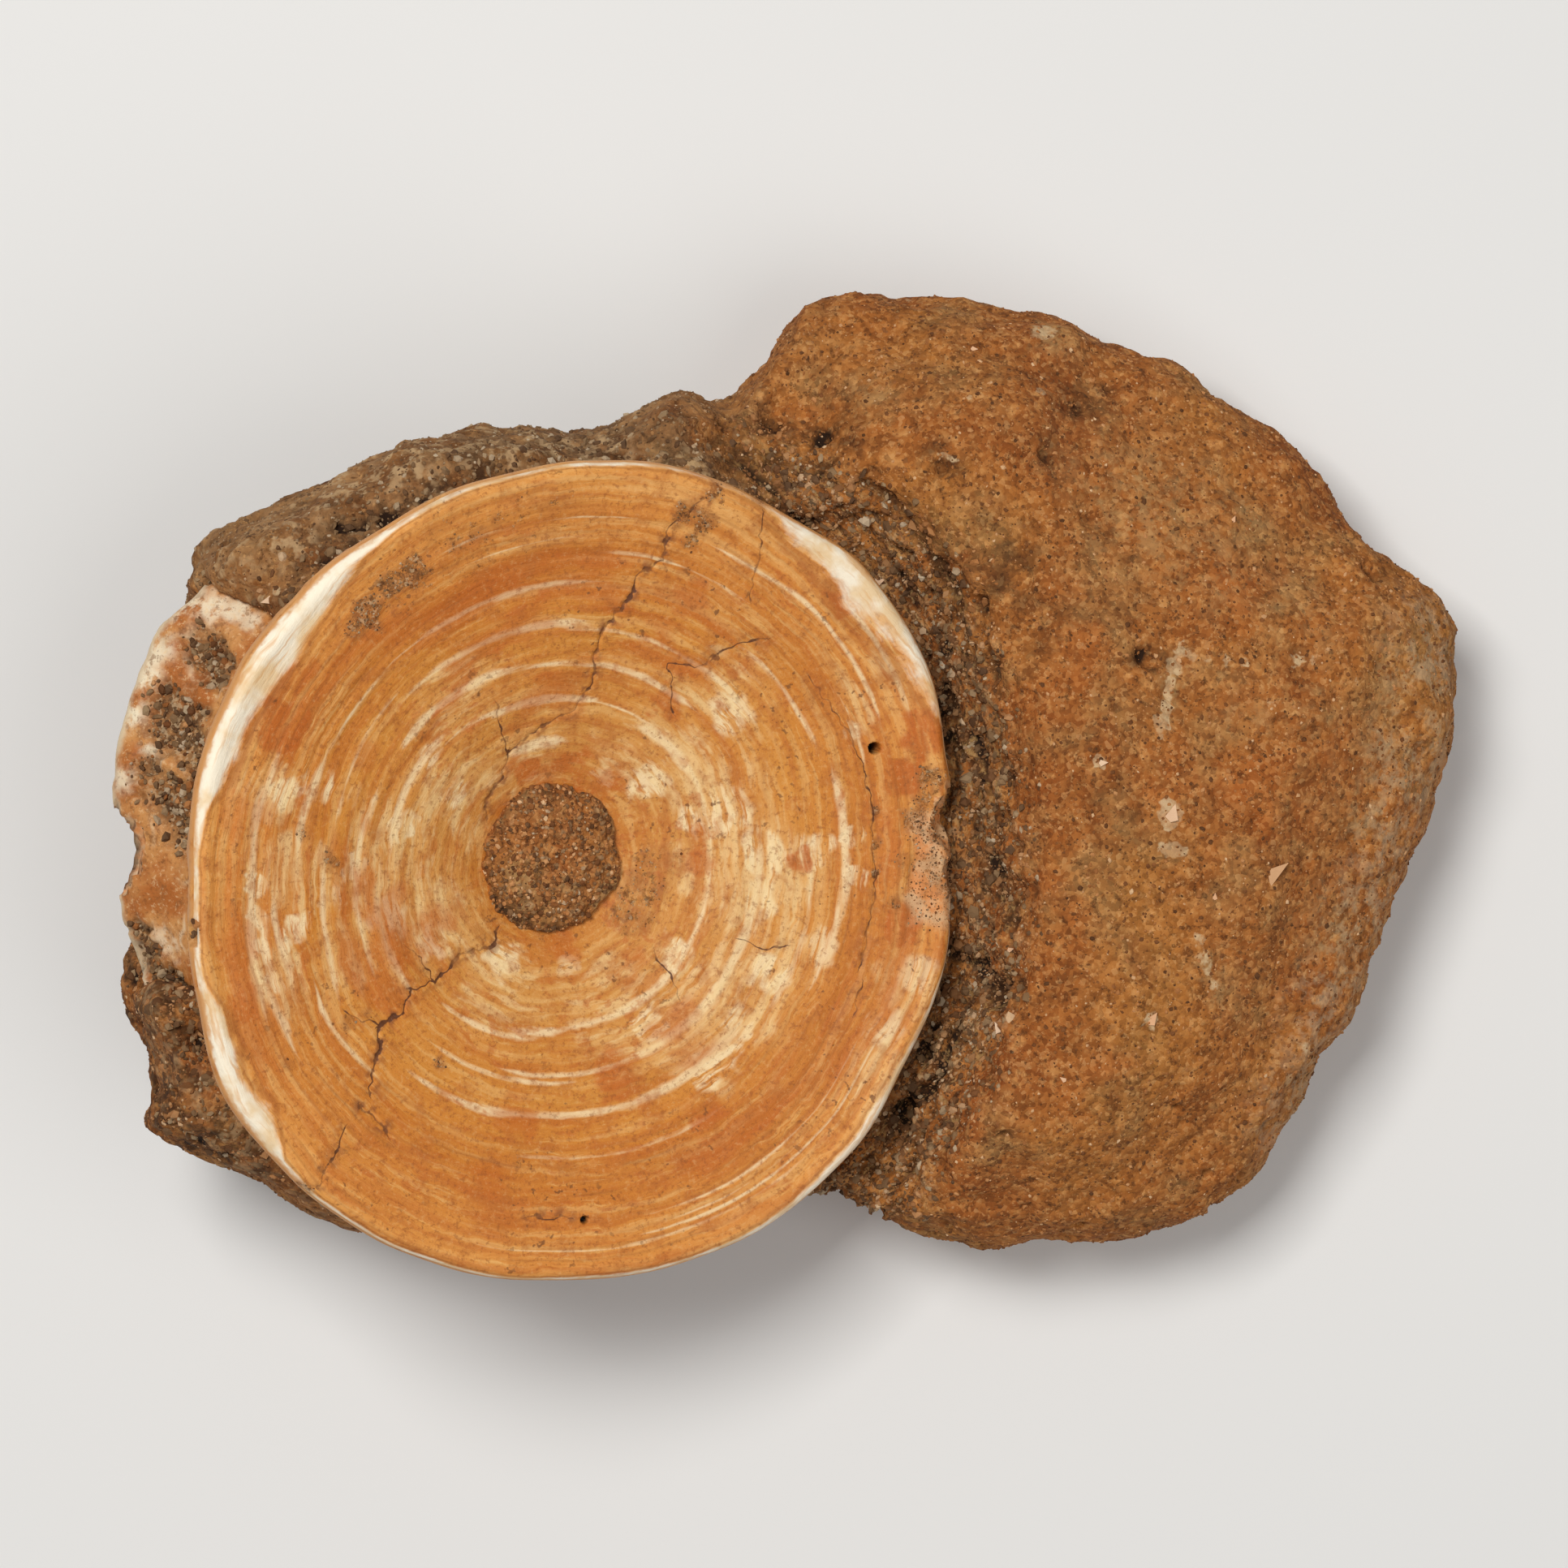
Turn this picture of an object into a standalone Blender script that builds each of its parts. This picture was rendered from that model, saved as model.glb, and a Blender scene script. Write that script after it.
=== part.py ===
"""Fossil shark vertebra in its matrix: a disc-shaped centrum half bedded in a lump of stone.

Three pieces: the vertebra, the stone that holds it, and the plug of sediment in the middle
of its hollow front face. The stone lies on a flat underside at z = 0, +X runs from the
vertebra to the bare block of stone, and +Z is up. The origin is under the middle of the box.
"""

import math

import bmesh
import bpy
from mathutils import Matrix, Quaternion, Vector, noise

MM = 0.001

# The vertebra: a short drum with a hollow cone in each end
RIM_RADIUS = 38.4 * MM
CENTRUM_LENGTH = 24.5 * MM
CONE_DEPTH = 10.0 * MM
CONE_OFFSET = Vector((-0.7, 0.9)) * MM
WAIST_INSET = 4.8 * MM
BACK_RIM_SCALE = 0.985
FACE_CENTRE = Vector((-18.3, -8.6, 41.0)) * MM
TILT = math.radians(24.0)
TILT_HEADING = math.radians(-16.0)
RIM_STEP = 15.0
RIM_RADII = [37.7, 38.2, 39.5, 39.7, 38.9, 38.9, 38.5, 38.2, 38.0, 38.5, 38.8, 38.5,
             37.9, 38.4, 39.4, 38.8, 38.5, 38.3, 38.2, 38.6, 39.1, 39.2, 38.3, 38.4]
BACK_GROWTH = [0.0, 0.0, 0.0, 0.0, 0.0, 0.0, -0.6, -1.5, -1.5, 0.8, 2.2, 1.7,
               0.8, -0.2, -2.3, -3.8, -3.5, -2.4, -1.4, -0.6, 0.0, 0.0, 0.0, 0.0]
RIM_WOBBLE = 0.22 * MM
GROWTH_RIDGE = 0.16 * MM
TURN_STEPS = 60

# The plug of sediment in the front cone
PLUG_RADIUS = 7.1 * MM
PLUG_CROWN = 1.2 * MM
GAP = 0.3 * MM

# The stone: its outline seen from above, in mm, anticlockwise from the right
STONE_OUTLINE = [
    (64.6, 5.3), (64.8, 13.9), (63.0, 18.2), (59.1, 20.9), (56.0, 23.4), (52.1, 28.0),
    (50.3, 31.9), (46.6, 35.0), (39.5, 38.3), (37.2, 40.5), (32.8, 41.6), (26.2, 44.8),
    (20.7, 46.4), (11.3, 47.4), (7.4, 48.0), (3.4, 46.4), (1.1, 44.5), (-2.0, 40.5),
    (-5.6, 36.2), (-8.9, 36.9), (-11.6, 36.8), (-13.9, 35.5), (-17.0, 33.4), (-20.4, 33.0),
    (-26.2, 33.4), (-31.2, 32.8), (-36.6, 31.9), (-40.4, 29.7), (-45.0, 27.6), (-51.1, 24.7),
    (-55.0, 21.7), (-57.4, 18.0), (-58.2, 12.5), (-58.8, 5.0), (-58.4, -2.5), (-57.2, -6.5),
    (-60.0, -12.0), (-62.2, -15.5), (-62.3, -21.0), (-60.4, -24.8), (-58.8, -27.9),
    (-59.6, -32.1), (-56.1, -34.2), (-50.4, -37.0), (-42.0, -41.2), (-30.0, -44.6),
    (-18.0, -44.6), (-8.0, -42.8), (0.0, -40.2), (5.0, -38.8), (8.9, -41.5), (12.9, -43.5), (19.3, -44.7),
    (26.2, -43.5), (30.9, -43.5), (37.9, -42.4), (43.4, -38.9), (47.4, -35.4), (51.3, -28.4),
    (54.8, -22.9), (56.4, -18.2), (58.7, -11.1), (61.5, -4.1), (63.4, 1.4),
]
OUTLINE_CENTRE = Vector((0.0, -2.0)) * MM
OUTLINE_GROWTH = 0.5 * MM
BLOCK_TOP = 31.0 * MM
COLLAR_DROP = 7.5 * MM
BARE_DROP = 27.0 * MM
CREVICE_FLOOR = 21.0 * MM
UNDERSIDE = -5.0 * MM
SHOULDER = 0.93
STONE_CUTS = 43
STONE_KEEP = 0.235
SOCKET_CLEARANCE = 0.65 * MM

# Clods, ledges and hollows on the stone: x, y, width, height, in mm
STONE_LUMPS = [
    (-10.5, 35.0, 3.6, 4.0),
    (-27.0, 32.0, 5.0, 1.6),
    (-44.0, 26.0, 5.0, -1.4),
    (-53.0, 21.0, 4.5, 1.5),
    (-57.0, -19.0, 4.5, 2.6),
    (-55.0, -30.0, 4.5, 1.2),
    (-48.0, -34.0, 3.0, -2.2),
    (0.5, 33.5, 4.5, -3.5),
    (3.5, 27.0, 3.0, 2.4),
    (9.5, 24.5, 2.6, -1.8),
    (14.5, 17.0, 3.2, -3.4),
    (18.5, 8.5, 3.0, -2.2),
    (20.0, -6.0, 2.4, 1.2),
    (16.0, -20.0, 3.0, -3.0),
    (11.0, -32.0, 3.4, -3.2),
    (26.0, 6.0, 9.0, 1.2),
    (32.0, 24.0, 7.0, -1.6),
    (22.0, 37.0, 6.0, 1.8),
    (47.0, 27.0, 6.0, -2.0),
    (57.0, 15.0, 5.0, 1.6),
    (37.0, 11.0, 3.0, -1.3),
    (45.0, -9.0, 8.0, 1.2),
    (30.0, -25.0, 8.0, 1.0),
    (47.0, -27.0, 5.0, -1.3),
    (24.0, -38.0, 5.0, 1.2),
]

# Broken edges on the bone: which face, angle round it, distance out, bite radius, in mm
BONE_CHIPS = [
    ("front", 6.5, 39.4, 3.9),
    ("front", -1.0, 39.8, 3.2),
    ("front", 192.0, 40.8, 2.4),
    ("back", 179.0, 39.4, 4.3),
    ("back", 182.5, 37.9, 2.2),
]
PINHOLE_AT = Vector((29.6, 11.3)) * MM
PINHOLE_RADIUS = 0.6 * MM


def smoothstep(low, high, value):
    share = min(1.0, max(0.0, (value - low) / (high - low)))
    return share * share * (3.0 - 2.0 * share)


def rough(point, size, seed):
    """Smooth noise between about -1 and 1 with lumps of this size, different for each seed."""
    return noise.noise(point / size + Vector((seed, -seed, 0.5 * seed)))


# Placing

def tilt():
    """Turns the vertebra's own axis from straight up to where its front face looks."""
    hinge = Vector((-math.sin(TILT_HEADING), math.cos(TILT_HEADING), 0.0))
    return Quaternion(hinge, TILT)


def front_plane(x, y):
    """Height of the front rim's plane above a point of the ground."""
    normal = tilt() @ Vector((0.0, 0.0, 1.0))
    lean = normal.x * (x - FACE_CENTRE.x) + normal.y * (y - FACE_CENTRE.y)
    return FACE_CENTRE.z - lean / normal.z


def around(values, angle):
    """Blends a list of lengths in mm, spaced RIM_STEP degrees apart, at an angle in degrees."""
    place = (angle % 360.0) / RIM_STEP
    before = int(place) % len(values)
    after = (before + 1) % len(values)
    blend = smoothstep(0.0, 1.0, place - int(place))
    return MM * (values[before] * (1.0 - blend) + values[after] * blend)


def outside_rim(x, y):
    """How far a point of the ground lies outside the front rim, seen from above."""
    dx = (x - FACE_CENTRE.x) / math.cos(TILT)
    dy = y - FACE_CENTRE.y
    return math.hypot(dx, dy) - around(RIM_RADII, math.degrees(math.atan2(dy, dx)))


def exposed(x, y):
    """1 along the vertebra's left side, where its wall is bare of stone, and 0 elsewhere."""
    angle = math.degrees(math.atan2(y - FACE_CENTRE.y, x - FACE_CENTRE.x)) % 360.0
    return smoothstep(137.0, 148.0, angle) * (1.0 - smoothstep(188.0, 198.0, angle))


# Making

def new_object(name, mesh, collection):
    made = bpy.data.objects.new(name, mesh)
    collection.objects.link(made)
    return made


def frozen(source, name, collection):
    """The object with its modifiers made real, under a new name; the source is removed."""
    bpy.context.view_layer.update()
    graph = bpy.context.evaluated_depsgraph_get()
    mesh = bpy.data.meshes.new_from_object(source.evaluated_get(graph))
    made = new_object(name, mesh, collection)
    made.matrix_world = source.matrix_world
    bpy.data.objects.remove(source)
    return made


def turned(name, profile, steps, collection):
    """A solid of revolution about Z from (radius, height) points, front pole to back pole."""
    mesh = bpy.data.meshes.new(name)
    corners = [(radius, 0.0, height) for radius, height in profile]
    mesh.from_pydata(corners, [(i, i + 1) for i in range(len(corners) - 1)], [])
    line = new_object(name + "_line", mesh, collection)
    screw = line.modifiers.new("Turn", "SCREW")
    screw.steps = steps
    screw.render_steps = steps
    screw.use_merge_vertices = True
    screw.merge_threshold = 0.00001
    return frozen(line, name, collection)


def material(name, colour, roughness):
    made = bpy.data.materials.new(name)
    made.use_nodes = True
    shader = made.node_tree.nodes["Principled BSDF"]
    shader.inputs["Base Color"].default_value = (*colour, 1.0)
    shader.inputs["Roughness"].default_value = roughness
    shader.inputs["Metallic"].default_value = 0.0
    made.diffuse_color = (*colour, 1.0)
    return made


def subtract(target, cutter, name):
    cut = target.modifiers.new(name, "BOOLEAN")
    cut.operation = "DIFFERENCE"
    cut.solver = "EXACT"
    cut.object = cutter
    cutter.hide_render = True
    cutter.display_type = "WIRE"


# The vertebra

def front_depth(share):
    """Depth of the hollow front face at a share of the rim's radius: 0 in the middle, 1 at the rim."""
    funnel = CONE_DEPTH * (1.0 - share) ** 1.12
    return funnel * (1.0 - 0.12 * math.sin(math.pi * share))


def vertebra_profile():
    """Front cone with its growth ridges, lip, waist, back lip and back cone."""
    points = [(0.0, -CONE_DEPTH)]
    ridges = 9
    for i in range(ridges):
        share = 0.15 + 0.8 * i / (ridges - 1)
        ridge = GROWTH_RIDGE if i % 2 else -GROWTH_RIDGE
        points.append((share * RIM_RADIUS, ridge - front_depth(share)))
    points += [(RIM_RADIUS - inset * MM, -drop * MM) for inset, drop in [
        (0.9, 0.0), (0.15, 0.7), (0.0, 1.8), (0.9, 3.9), (2.8, 6.4)]]
    points += waist_profile(0.0)
    back = RIM_RADIUS * BACK_RIM_SCALE
    points += [(back - inset * MM, -CENTRUM_LENGTH + rise * MM) for inset, rise in [
        (2.8, 6.2), (0.8, 3.4), (0.0, 1.5), (0.9, 0.0)]]
    points += [(back * share, -CENTRUM_LENGTH + CONE_DEPTH * (1.0 - share))
               for share in (0.86, 0.6, 0.3)]
    points.append((0.0, -CENTRUM_LENGTH + CONE_DEPTH))
    return points


def waist_profile(clearance):
    middle = 0.5 * CENTRUM_LENGTH
    return [(RIM_RADIUS - WAIST_INSET + 0.5 * MM + clearance, -middle + 3.2 * MM),
            (RIM_RADIUS - WAIST_INSET + clearance, -middle),
            (RIM_RADIUS - WAIST_INSET + 0.1 * MM + clearance, -middle - 3.0 * MM)]


def to_oval(vertex, wobble):
    """Moves a turned point out to the real, slightly oval and uneven outline."""
    radius = math.hypot(vertex.x, vertex.y)
    if radius < 0.01 * MM:
        return Vector((CONE_OFFSET.x, CONE_OFFSET.y, vertex.z))
    angle = math.degrees(math.atan2(vertex.y, vertex.x))
    share = radius / RIM_RADIUS
    grow = 1.0 + (around(RIM_RADII, angle) / RIM_RADIUS - 1.0) * share
    edge = smoothstep(0.75, 1.0, share)
    uneven = wobble * edge * rough(vertex, 7.0 * MM, 3.0)
    backward = smoothstep(-0.55 * CENTRUM_LENGTH, -0.9 * CENTRUM_LENGTH, vertex.z)
    uneven += around(BACK_GROWTH, angle) * backward * share
    height = vertex.z + wobble * edge * rough(vertex, 9.0 * MM, 8.0)
    drift = CONE_OFFSET * max(0.0, 1.0 - share)
    scale = grow + uneven / radius
    return Vector((vertex.x * scale + drift.x, vertex.y * scale + drift.y, height))


def chip_cutter(index, face, angle, out, bite, collection):
    """A rough ball that breaks a piece off an edge of the bone."""
    mesh = bpy.data.meshes.new("chip")
    ball = bmesh.new()
    bmesh.ops.create_icosphere(ball, subdivisions=2, radius=bite * MM)
    for vertex in ball.verts:
        vertex.co *= 1.0 + 0.35 * rough(vertex.co, 2.5 * MM, 11.0 + index)
        vertex.co.z *= 1.25
    ball.to_mesh(mesh)
    ball.free()
    cutter = new_object(f"chip_{index}", mesh, collection)
    turn = math.radians(angle)
    height = 0.2 * MM if face == "front" else -CENTRUM_LENGTH + 1.0 * MM
    place = Vector((out * MM * math.cos(turn), out * MM * math.sin(turn), height))
    cutter.location = FACE_CENTRE + tilt() @ place
    cutter.rotation_euler = tilt().to_euler()
    return cutter


def pinhole_cutter(collection):
    """The small round hole bored through the face near its right-hand edge."""
    mesh = bpy.data.meshes.new("pinhole")
    drill = bmesh.new()
    bmesh.ops.create_cone(drill, cap_ends=True, segments=10, radius1=PINHOLE_RADIUS,
                          radius2=PINHOLE_RADIUS, depth=6.0 * MM)
    drill.to_mesh(mesh)
    drill.free()
    cutter = new_object("pinhole", mesh, collection)
    share = PINHOLE_AT.length / RIM_RADIUS
    place = Vector((PINHOLE_AT.x, PINHOLE_AT.y, -front_depth(share) + 1.0 * MM))
    cutter.location = FACE_CENTRE + tilt() @ place
    cutter.rotation_euler = tilt().to_euler()
    return cutter


def make_vertebra(parts, cutters):
    bone = turned("vertebra", vertebra_profile(), TURN_STEPS, parts)
    for vertex in bone.data.vertices:
        vertex.co = to_oval(vertex.co.copy(), RIM_WOBBLE)
    bone.location = FACE_CENTRE
    bone.rotation_euler = tilt().to_euler()
    bone.data.shade_smooth()
    bone.data.set_sharp_from_angle(angle=math.radians(40))
    for index, (face, angle, out, bite) in enumerate(BONE_CHIPS):
        subtract(bone, chip_cutter(index, face, angle, out, bite, cutters), f"Chip {index}")
    subtract(bone, pinhole_cutter(cutters), "Pinhole")
    bone.data.materials.append(material("fossil_bone", (0.62, 0.33, 0.13), 0.55))
    return bone


# The plug

def make_plug(parts):
    """Sediment left in the deep middle of the front cone, with a lumpy top."""
    edge_share = PLUG_RADIUS / RIM_RADIUS
    top = -front_depth(edge_share) + GAP
    cone_floor = -CONE_DEPTH + 2.0 * GAP
    profile = [(0.0, top + PLUG_CROWN)]
    for share in (0.25, 0.5, 0.75, 0.92):
        profile.append((PLUG_RADIUS * share, top + PLUG_CROWN * (1.0 - share ** 3)))
    profile += [(PLUG_RADIUS, top + 2.0 * GAP), (PLUG_RADIUS * 0.96, top + GAP)]
    profile.append((0.0, cone_floor + GAP))
    plug = turned("sediment_plug", profile, 24, parts)
    for vertex in plug.data.vertices:
        radius = math.hypot(vertex.co.x, vertex.co.y)
        crown = smoothstep(top + GAP, top + PLUG_CROWN, vertex.co.z)
        vertex.co.z += 0.45 * MM * crown * rough(vertex.co, 2.2 * MM, 5.0)
        inward = 0.9 * MM * (0.5 + 0.5 * rough(vertex.co, 4.0 * MM, 21.0))
        if radius > 0.5 * PLUG_RADIUS:
            vertex.co.x *= 1.0 - inward / radius
            vertex.co.y *= 1.0 - inward / radius
    plug.location = FACE_CENTRE + tilt() @ Vector((*CONE_OFFSET, 0.0))
    plug.rotation_euler = tilt().to_euler()
    plug.data.materials.append(material("sediment", (0.30, 0.19, 0.10), 0.95))
    return plug


# The stone

def outline_radius(angle):
    """Distance from OUTLINE_CENTRE to the stone's outline in a direction, in radians."""
    corners = [Vector(point) * MM - OUTLINE_CENTRE for point in STONE_OUTLINE]
    polar = sorted((math.atan2(c.y, c.x), c.length) for c in corners)
    polar = [(polar[-1][0] - math.tau, polar[-1][1])] + polar
    polar.append((polar[1][0] + math.tau, polar[1][1]))
    for (low, near), (high, far) in zip(polar, polar[1:]):
        if low <= angle <= high:
            return near + (far - near) * (angle - low) / (high - low)
    return polar[0][1]


def block_height(x, y):
    """Top of the bare block on the right: a gently crowned plateau that falls to its upper left."""
    crown = BLOCK_TOP - 0.13 * (x - 20.0 * MM) - 2.4 * (y + 8.0 * MM) ** 2
    lobe = 0.55 * max(0.0, 14.0 * MM - x) * smoothstep(24.0 * MM, 38.0 * MM, y)
    return crown - lobe


def top_height(x, y):
    """Height of the stone's upper surface, before the vertebra's bed is cut out of it."""
    away = outside_rim(x, y)
    bare = exposed(x, y)
    collar = front_plane(x, y) - (COLLAR_DROP + (BARE_DROP - COLLAR_DROP) * bare)
    rise = smoothstep(0.5 * MM, 10.5 * MM, away)
    block = CREVICE_FLOOR + (block_height(x, y) - CREVICE_FLOOR) * rise
    right = smoothstep(-9.0 * MM, 9.0 * MM, x)
    height = collar + (block - collar) * right
    for centre_x, centre_y, width, lift in STONE_LUMPS:
        span = math.hypot(x - centre_x * MM, y - centre_y * MM) / (width * MM)
        height += lift * MM * math.exp(-span * span) * smoothstep(-4.0 * MM, 0.0, away)
    return height


def girdle_height(x):
    """Height at which the stone is widest: low on the block, higher under the vertebra's left edge."""
    return 13.0 * MM + 11.0 * MM * smoothstep(10.0 * MM, -45.0 * MM, x)


def stone_point(across, along, up):
    """Takes a point of the starting cube, each value from -1 to 1, to the stone's surface."""
    ring = max(abs(across), abs(along))
    angle = math.atan2(along, across)
    reach = outline_radius(angle) + OUTLINE_GROWTH
    heading = Vector((math.cos(angle), math.sin(angle)))
    top_edge = OUTLINE_CENTRE + heading * reach * SHOULDER
    girdle = girdle_height(top_edge.x)
    shoulder_height = 0.6 * top_height(*top_edge) + 0.4 * girdle
    if up > 0.999:
        plan = OUTLINE_CENTRE + heading * reach * SHOULDER * ring
        height = top_height(*plan)
        height += (shoulder_height - top_height(*top_edge)) * smoothstep(0.72, 1.0, ring) ** 1.5
        return Vector((*plan, height))
    base_share = 0.73 + 0.06 * rough(Vector((*heading, 0.0)), 0.7, 4.0)
    if up < -0.999:
        return Vector((*(OUTLINE_CENTRE + heading * reach * base_share * ring), UNDERSIDE))
    drop = 0.5 * (1.0 - up)
    waist = 0.32
    if drop < waist:
        share = 1.0 - (1.0 - SHOULDER) * ((waist - drop) / waist) ** 2
        height = girdle + (shoulder_height - girdle) * (1.0 - drop / waist)
    else:
        lower = (drop - waist) / (1.0 - waist)
        share = 1.0 - (1.0 - base_share) * lower ** 2.2
        height = girdle + (UNDERSIDE - girdle) * lower
    return Vector((*(OUTLINE_CENTRE + heading * reach * share), height))


def weathered(point):
    """Adds the broken, lumpy skin of a sandstone to a point of the stone."""
    centre = Vector((OUTLINE_CENTRE.x, OUTLINE_CENTRE.y, 12.0 * MM))
    outward = (point - centre).normalized()
    clods = 1.1 * MM * rough(point, 13.0 * MM, 1.0) + 0.8 * MM * rough(point, 6.0 * MM, 2.0)
    pits = 0.5 * MM * rough(point, 3.2 * MM, 7.0)
    side = 1.0 - 0.45 * abs(outward.z)
    return point + outward * (clods + pits) * side


def socket_cutter(collection):
    """The vertebra's envelope, a little larger, which leaves its bed and waist in the stone."""
    wide = RIM_RADIUS + SOCKET_CLEARANCE
    back = RIM_RADIUS * BACK_RIM_SCALE + SOCKET_CLEARANCE
    clear = SOCKET_CLEARANCE
    profile = [(0.0, 9.0 * MM), (wide, 9.0 * MM), (wide, -1.9 * MM), (wide - 2.9 * MM, -7.2 * MM)]
    profile += waist_profile(clear)
    profile += [(back - 2.6 * MM, -CENTRUM_LENGTH + 6.0 * MM),
                (back, -CENTRUM_LENGTH + 1.6 * MM),
                (back - 0.8 * MM, -CENTRUM_LENGTH - clear),
                (back * 0.86, -CENTRUM_LENGTH + 0.13 * CONE_DEPTH - 1.3 * clear),
                (0.0, -CENTRUM_LENGTH + CONE_DEPTH - 1.4 * clear)]
    cutter = turned("socket", profile, 48, collection)
    for vertex in cutter.data.vertices:
        vertex.co = to_oval(vertex.co.copy(), 0.0)
    cutter.location = FACE_CENTRE
    cutter.rotation_euler = tilt().to_euler()
    return cutter


def ground_cutter(collection):
    """Trims the stone flat at z = 0, the face that it rests on."""
    mesh = bpy.data.meshes.new("ground")
    slab = bmesh.new()
    bmesh.ops.create_cube(slab, size=1.0)
    depth = 20.0 * MM
    bmesh.ops.scale(slab, vec=(0.3, 0.3, depth), verts=slab.verts)
    bmesh.ops.translate(slab, vec=(0.0, 0.0, -0.5 * depth), verts=slab.verts)
    slab.to_mesh(mesh)
    slab.free()
    return new_object("ground", mesh, collection)


def make_stone(parts, cutters):
    mesh = bpy.data.meshes.new("stone")
    cube = bmesh.new()
    bmesh.ops.create_cube(cube, size=2.0)
    bmesh.ops.subdivide_edges(cube, edges=cube.edges, cuts=STONE_CUTS, use_grid_fill=True)
    for vertex in cube.verts:
        vertex.co = weathered(stone_point(*vertex.co))
    cube.to_mesh(mesh)
    cube.free()
    stone = new_object("stone", mesh, parts)
    thin = stone.modifiers.new("Thin out", "DECIMATE")
    thin.ratio = STONE_KEEP
    subtract(stone, socket_cutter(cutters), "Vertebra bed")
    subtract(stone, ground_cutter(cutters), "Flat underside")
    stone.data.materials.append(material("matrix_stone", (0.36, 0.20, 0.10), 0.9))
    return stone


# The whole specimen

def centre_on_origin(pieces, cutters):
    """Parents everything to one empty, moved so that the box's bottom centre is the origin."""
    bpy.context.view_layer.update()
    graph = bpy.context.evaluated_depsgraph_get()
    corners = [piece.matrix_world @ vertex.co for piece in pieces
               for vertex in piece.evaluated_get(graph).data.vertices]
    low = Vector([min(corner[axis] for corner in corners) for axis in range(3)])
    high = Vector([max(corner[axis] for corner in corners) for axis in range(3)])
    specimen = bpy.data.objects.new("specimen", None)
    bpy.context.scene.collection.objects.link(specimen)
    for piece in [*pieces, *cutters.objects]:
        piece.parent = specimen
    specimen.location = (-0.5 * (low.x + high.x), -0.5 * (low.y + high.y), -low.z)
    print("moved by", [round(value / MM, 2) for value in specimen.location], "mm")


def main():
    for old in list(bpy.data.objects):
        bpy.data.objects.remove(old)
    parts = bpy.data.collections.new("Fossil vertebra in matrix")
    cutters = bpy.data.collections.new("Cutters")
    for collection in (parts, cutters):
        bpy.context.scene.collection.children.link(collection)
    pieces = [make_vertebra(parts, cutters), make_plug(parts), make_stone(parts, cutters)]
    centre_on_origin(pieces, cutters)


main()
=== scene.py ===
# %% [markdown]
# # A fossil shark vertebra in its stone
#
# A shark's vertebra is a thick disc of bone with a hollow cone in each end. This fossil one
# still sits in the lump of sandy, phosphate-rich stone that it was found in. The frame holds
# three solids from the CAD model. Here each of them gets a detailed skin that stands in its
# place: growth rings, cracks and pits on the bone, and thousands of grains on the stone.

# %% Load the fixed frame
import math
import random

import bpy
import numpy as np
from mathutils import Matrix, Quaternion, Vector, noise


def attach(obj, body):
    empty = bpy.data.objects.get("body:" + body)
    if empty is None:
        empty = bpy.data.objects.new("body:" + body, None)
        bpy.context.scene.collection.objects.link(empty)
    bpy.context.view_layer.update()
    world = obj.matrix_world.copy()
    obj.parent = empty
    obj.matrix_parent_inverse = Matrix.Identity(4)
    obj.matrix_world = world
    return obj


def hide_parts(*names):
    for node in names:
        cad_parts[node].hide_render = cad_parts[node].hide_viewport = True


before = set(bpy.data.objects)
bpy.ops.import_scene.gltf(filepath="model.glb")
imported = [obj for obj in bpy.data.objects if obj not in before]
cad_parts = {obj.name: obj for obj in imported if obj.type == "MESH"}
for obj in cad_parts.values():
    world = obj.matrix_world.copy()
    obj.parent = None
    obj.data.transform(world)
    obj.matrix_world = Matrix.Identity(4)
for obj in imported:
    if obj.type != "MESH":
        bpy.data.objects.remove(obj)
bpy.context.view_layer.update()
print("nodes in the frame:", sorted(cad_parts))

# %% [markdown]
# ## Units and small helpers
#
# All shapes are worked out in millimetres and scaled to metres when they go into a mesh. The
# helpers cover what every piece needs: a soft step, soft noise that looks the same on each run,
# and reading and writing a mesh's points as one array, which is far quicker than one by one.

# %% Soft steps and noise
MM = 0.001


def soft_step(low, high, value):
    """0 at low, 1 at high, with a smooth curve between them."""
    share = np.clip((np.asarray(value, dtype=float) - low) / (high - low), 0.0, 1.0)
    return share * share * (3.0 - 2.0 * share)


def rough(points, size, seed):
    """Soft noise from about -1 to 1 at each point, in lumps of this size."""
    shift = Vector((seed, -seed, 0.5 * seed))
    return np.array([noise.noise(Vector(point) / size + shift) for point in points.tolist()])


# %% Points and values of a mesh
def points_of(piece):
    flat = np.empty(len(piece.data.vertices) * 3)
    piece.data.vertices.foreach_get("co", flat)
    return flat.reshape(-1, 3) / MM


def move_points(piece, points):
    piece.data.vertices.foreach_set("co", (points * MM).ravel())
    piece.data.update()


def normals_of(piece):
    flat = np.empty(len(piece.data.vertices) * 3)
    piece.data.vertices.foreach_get("normal", flat)
    return flat.reshape(-1, 3)


def keep_values(piece, name, values):
    """Stores one number or one vector a point, for the materials to read."""
    vector = values.ndim == 2
    kind = "FLOAT_VECTOR" if vector else "FLOAT"
    layer = piece.data.attributes.new(name, kind, "POINT")
    layer.data.foreach_set("vector" if vector else "value", values.astype(float).ravel())


def values_of(piece, name):
    layer = piece.data.attributes[name]
    flat = np.empty(len(layer.data) * 3)
    layer.data.foreach_get("vector", flat)
    return flat.reshape(-1, 3)


# %% Working on one piece at a time
def pick_only(piece):
    """Deselects everything else and makes the piece the active object."""
    if bpy.context.object and bpy.context.object.mode != "OBJECT":
        bpy.ops.object.mode_set(mode="OBJECT")
    bpy.ops.object.select_all(action="DESELECT")
    bpy.context.view_layer.objects.active = piece
    piece.select_set(True)


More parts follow.
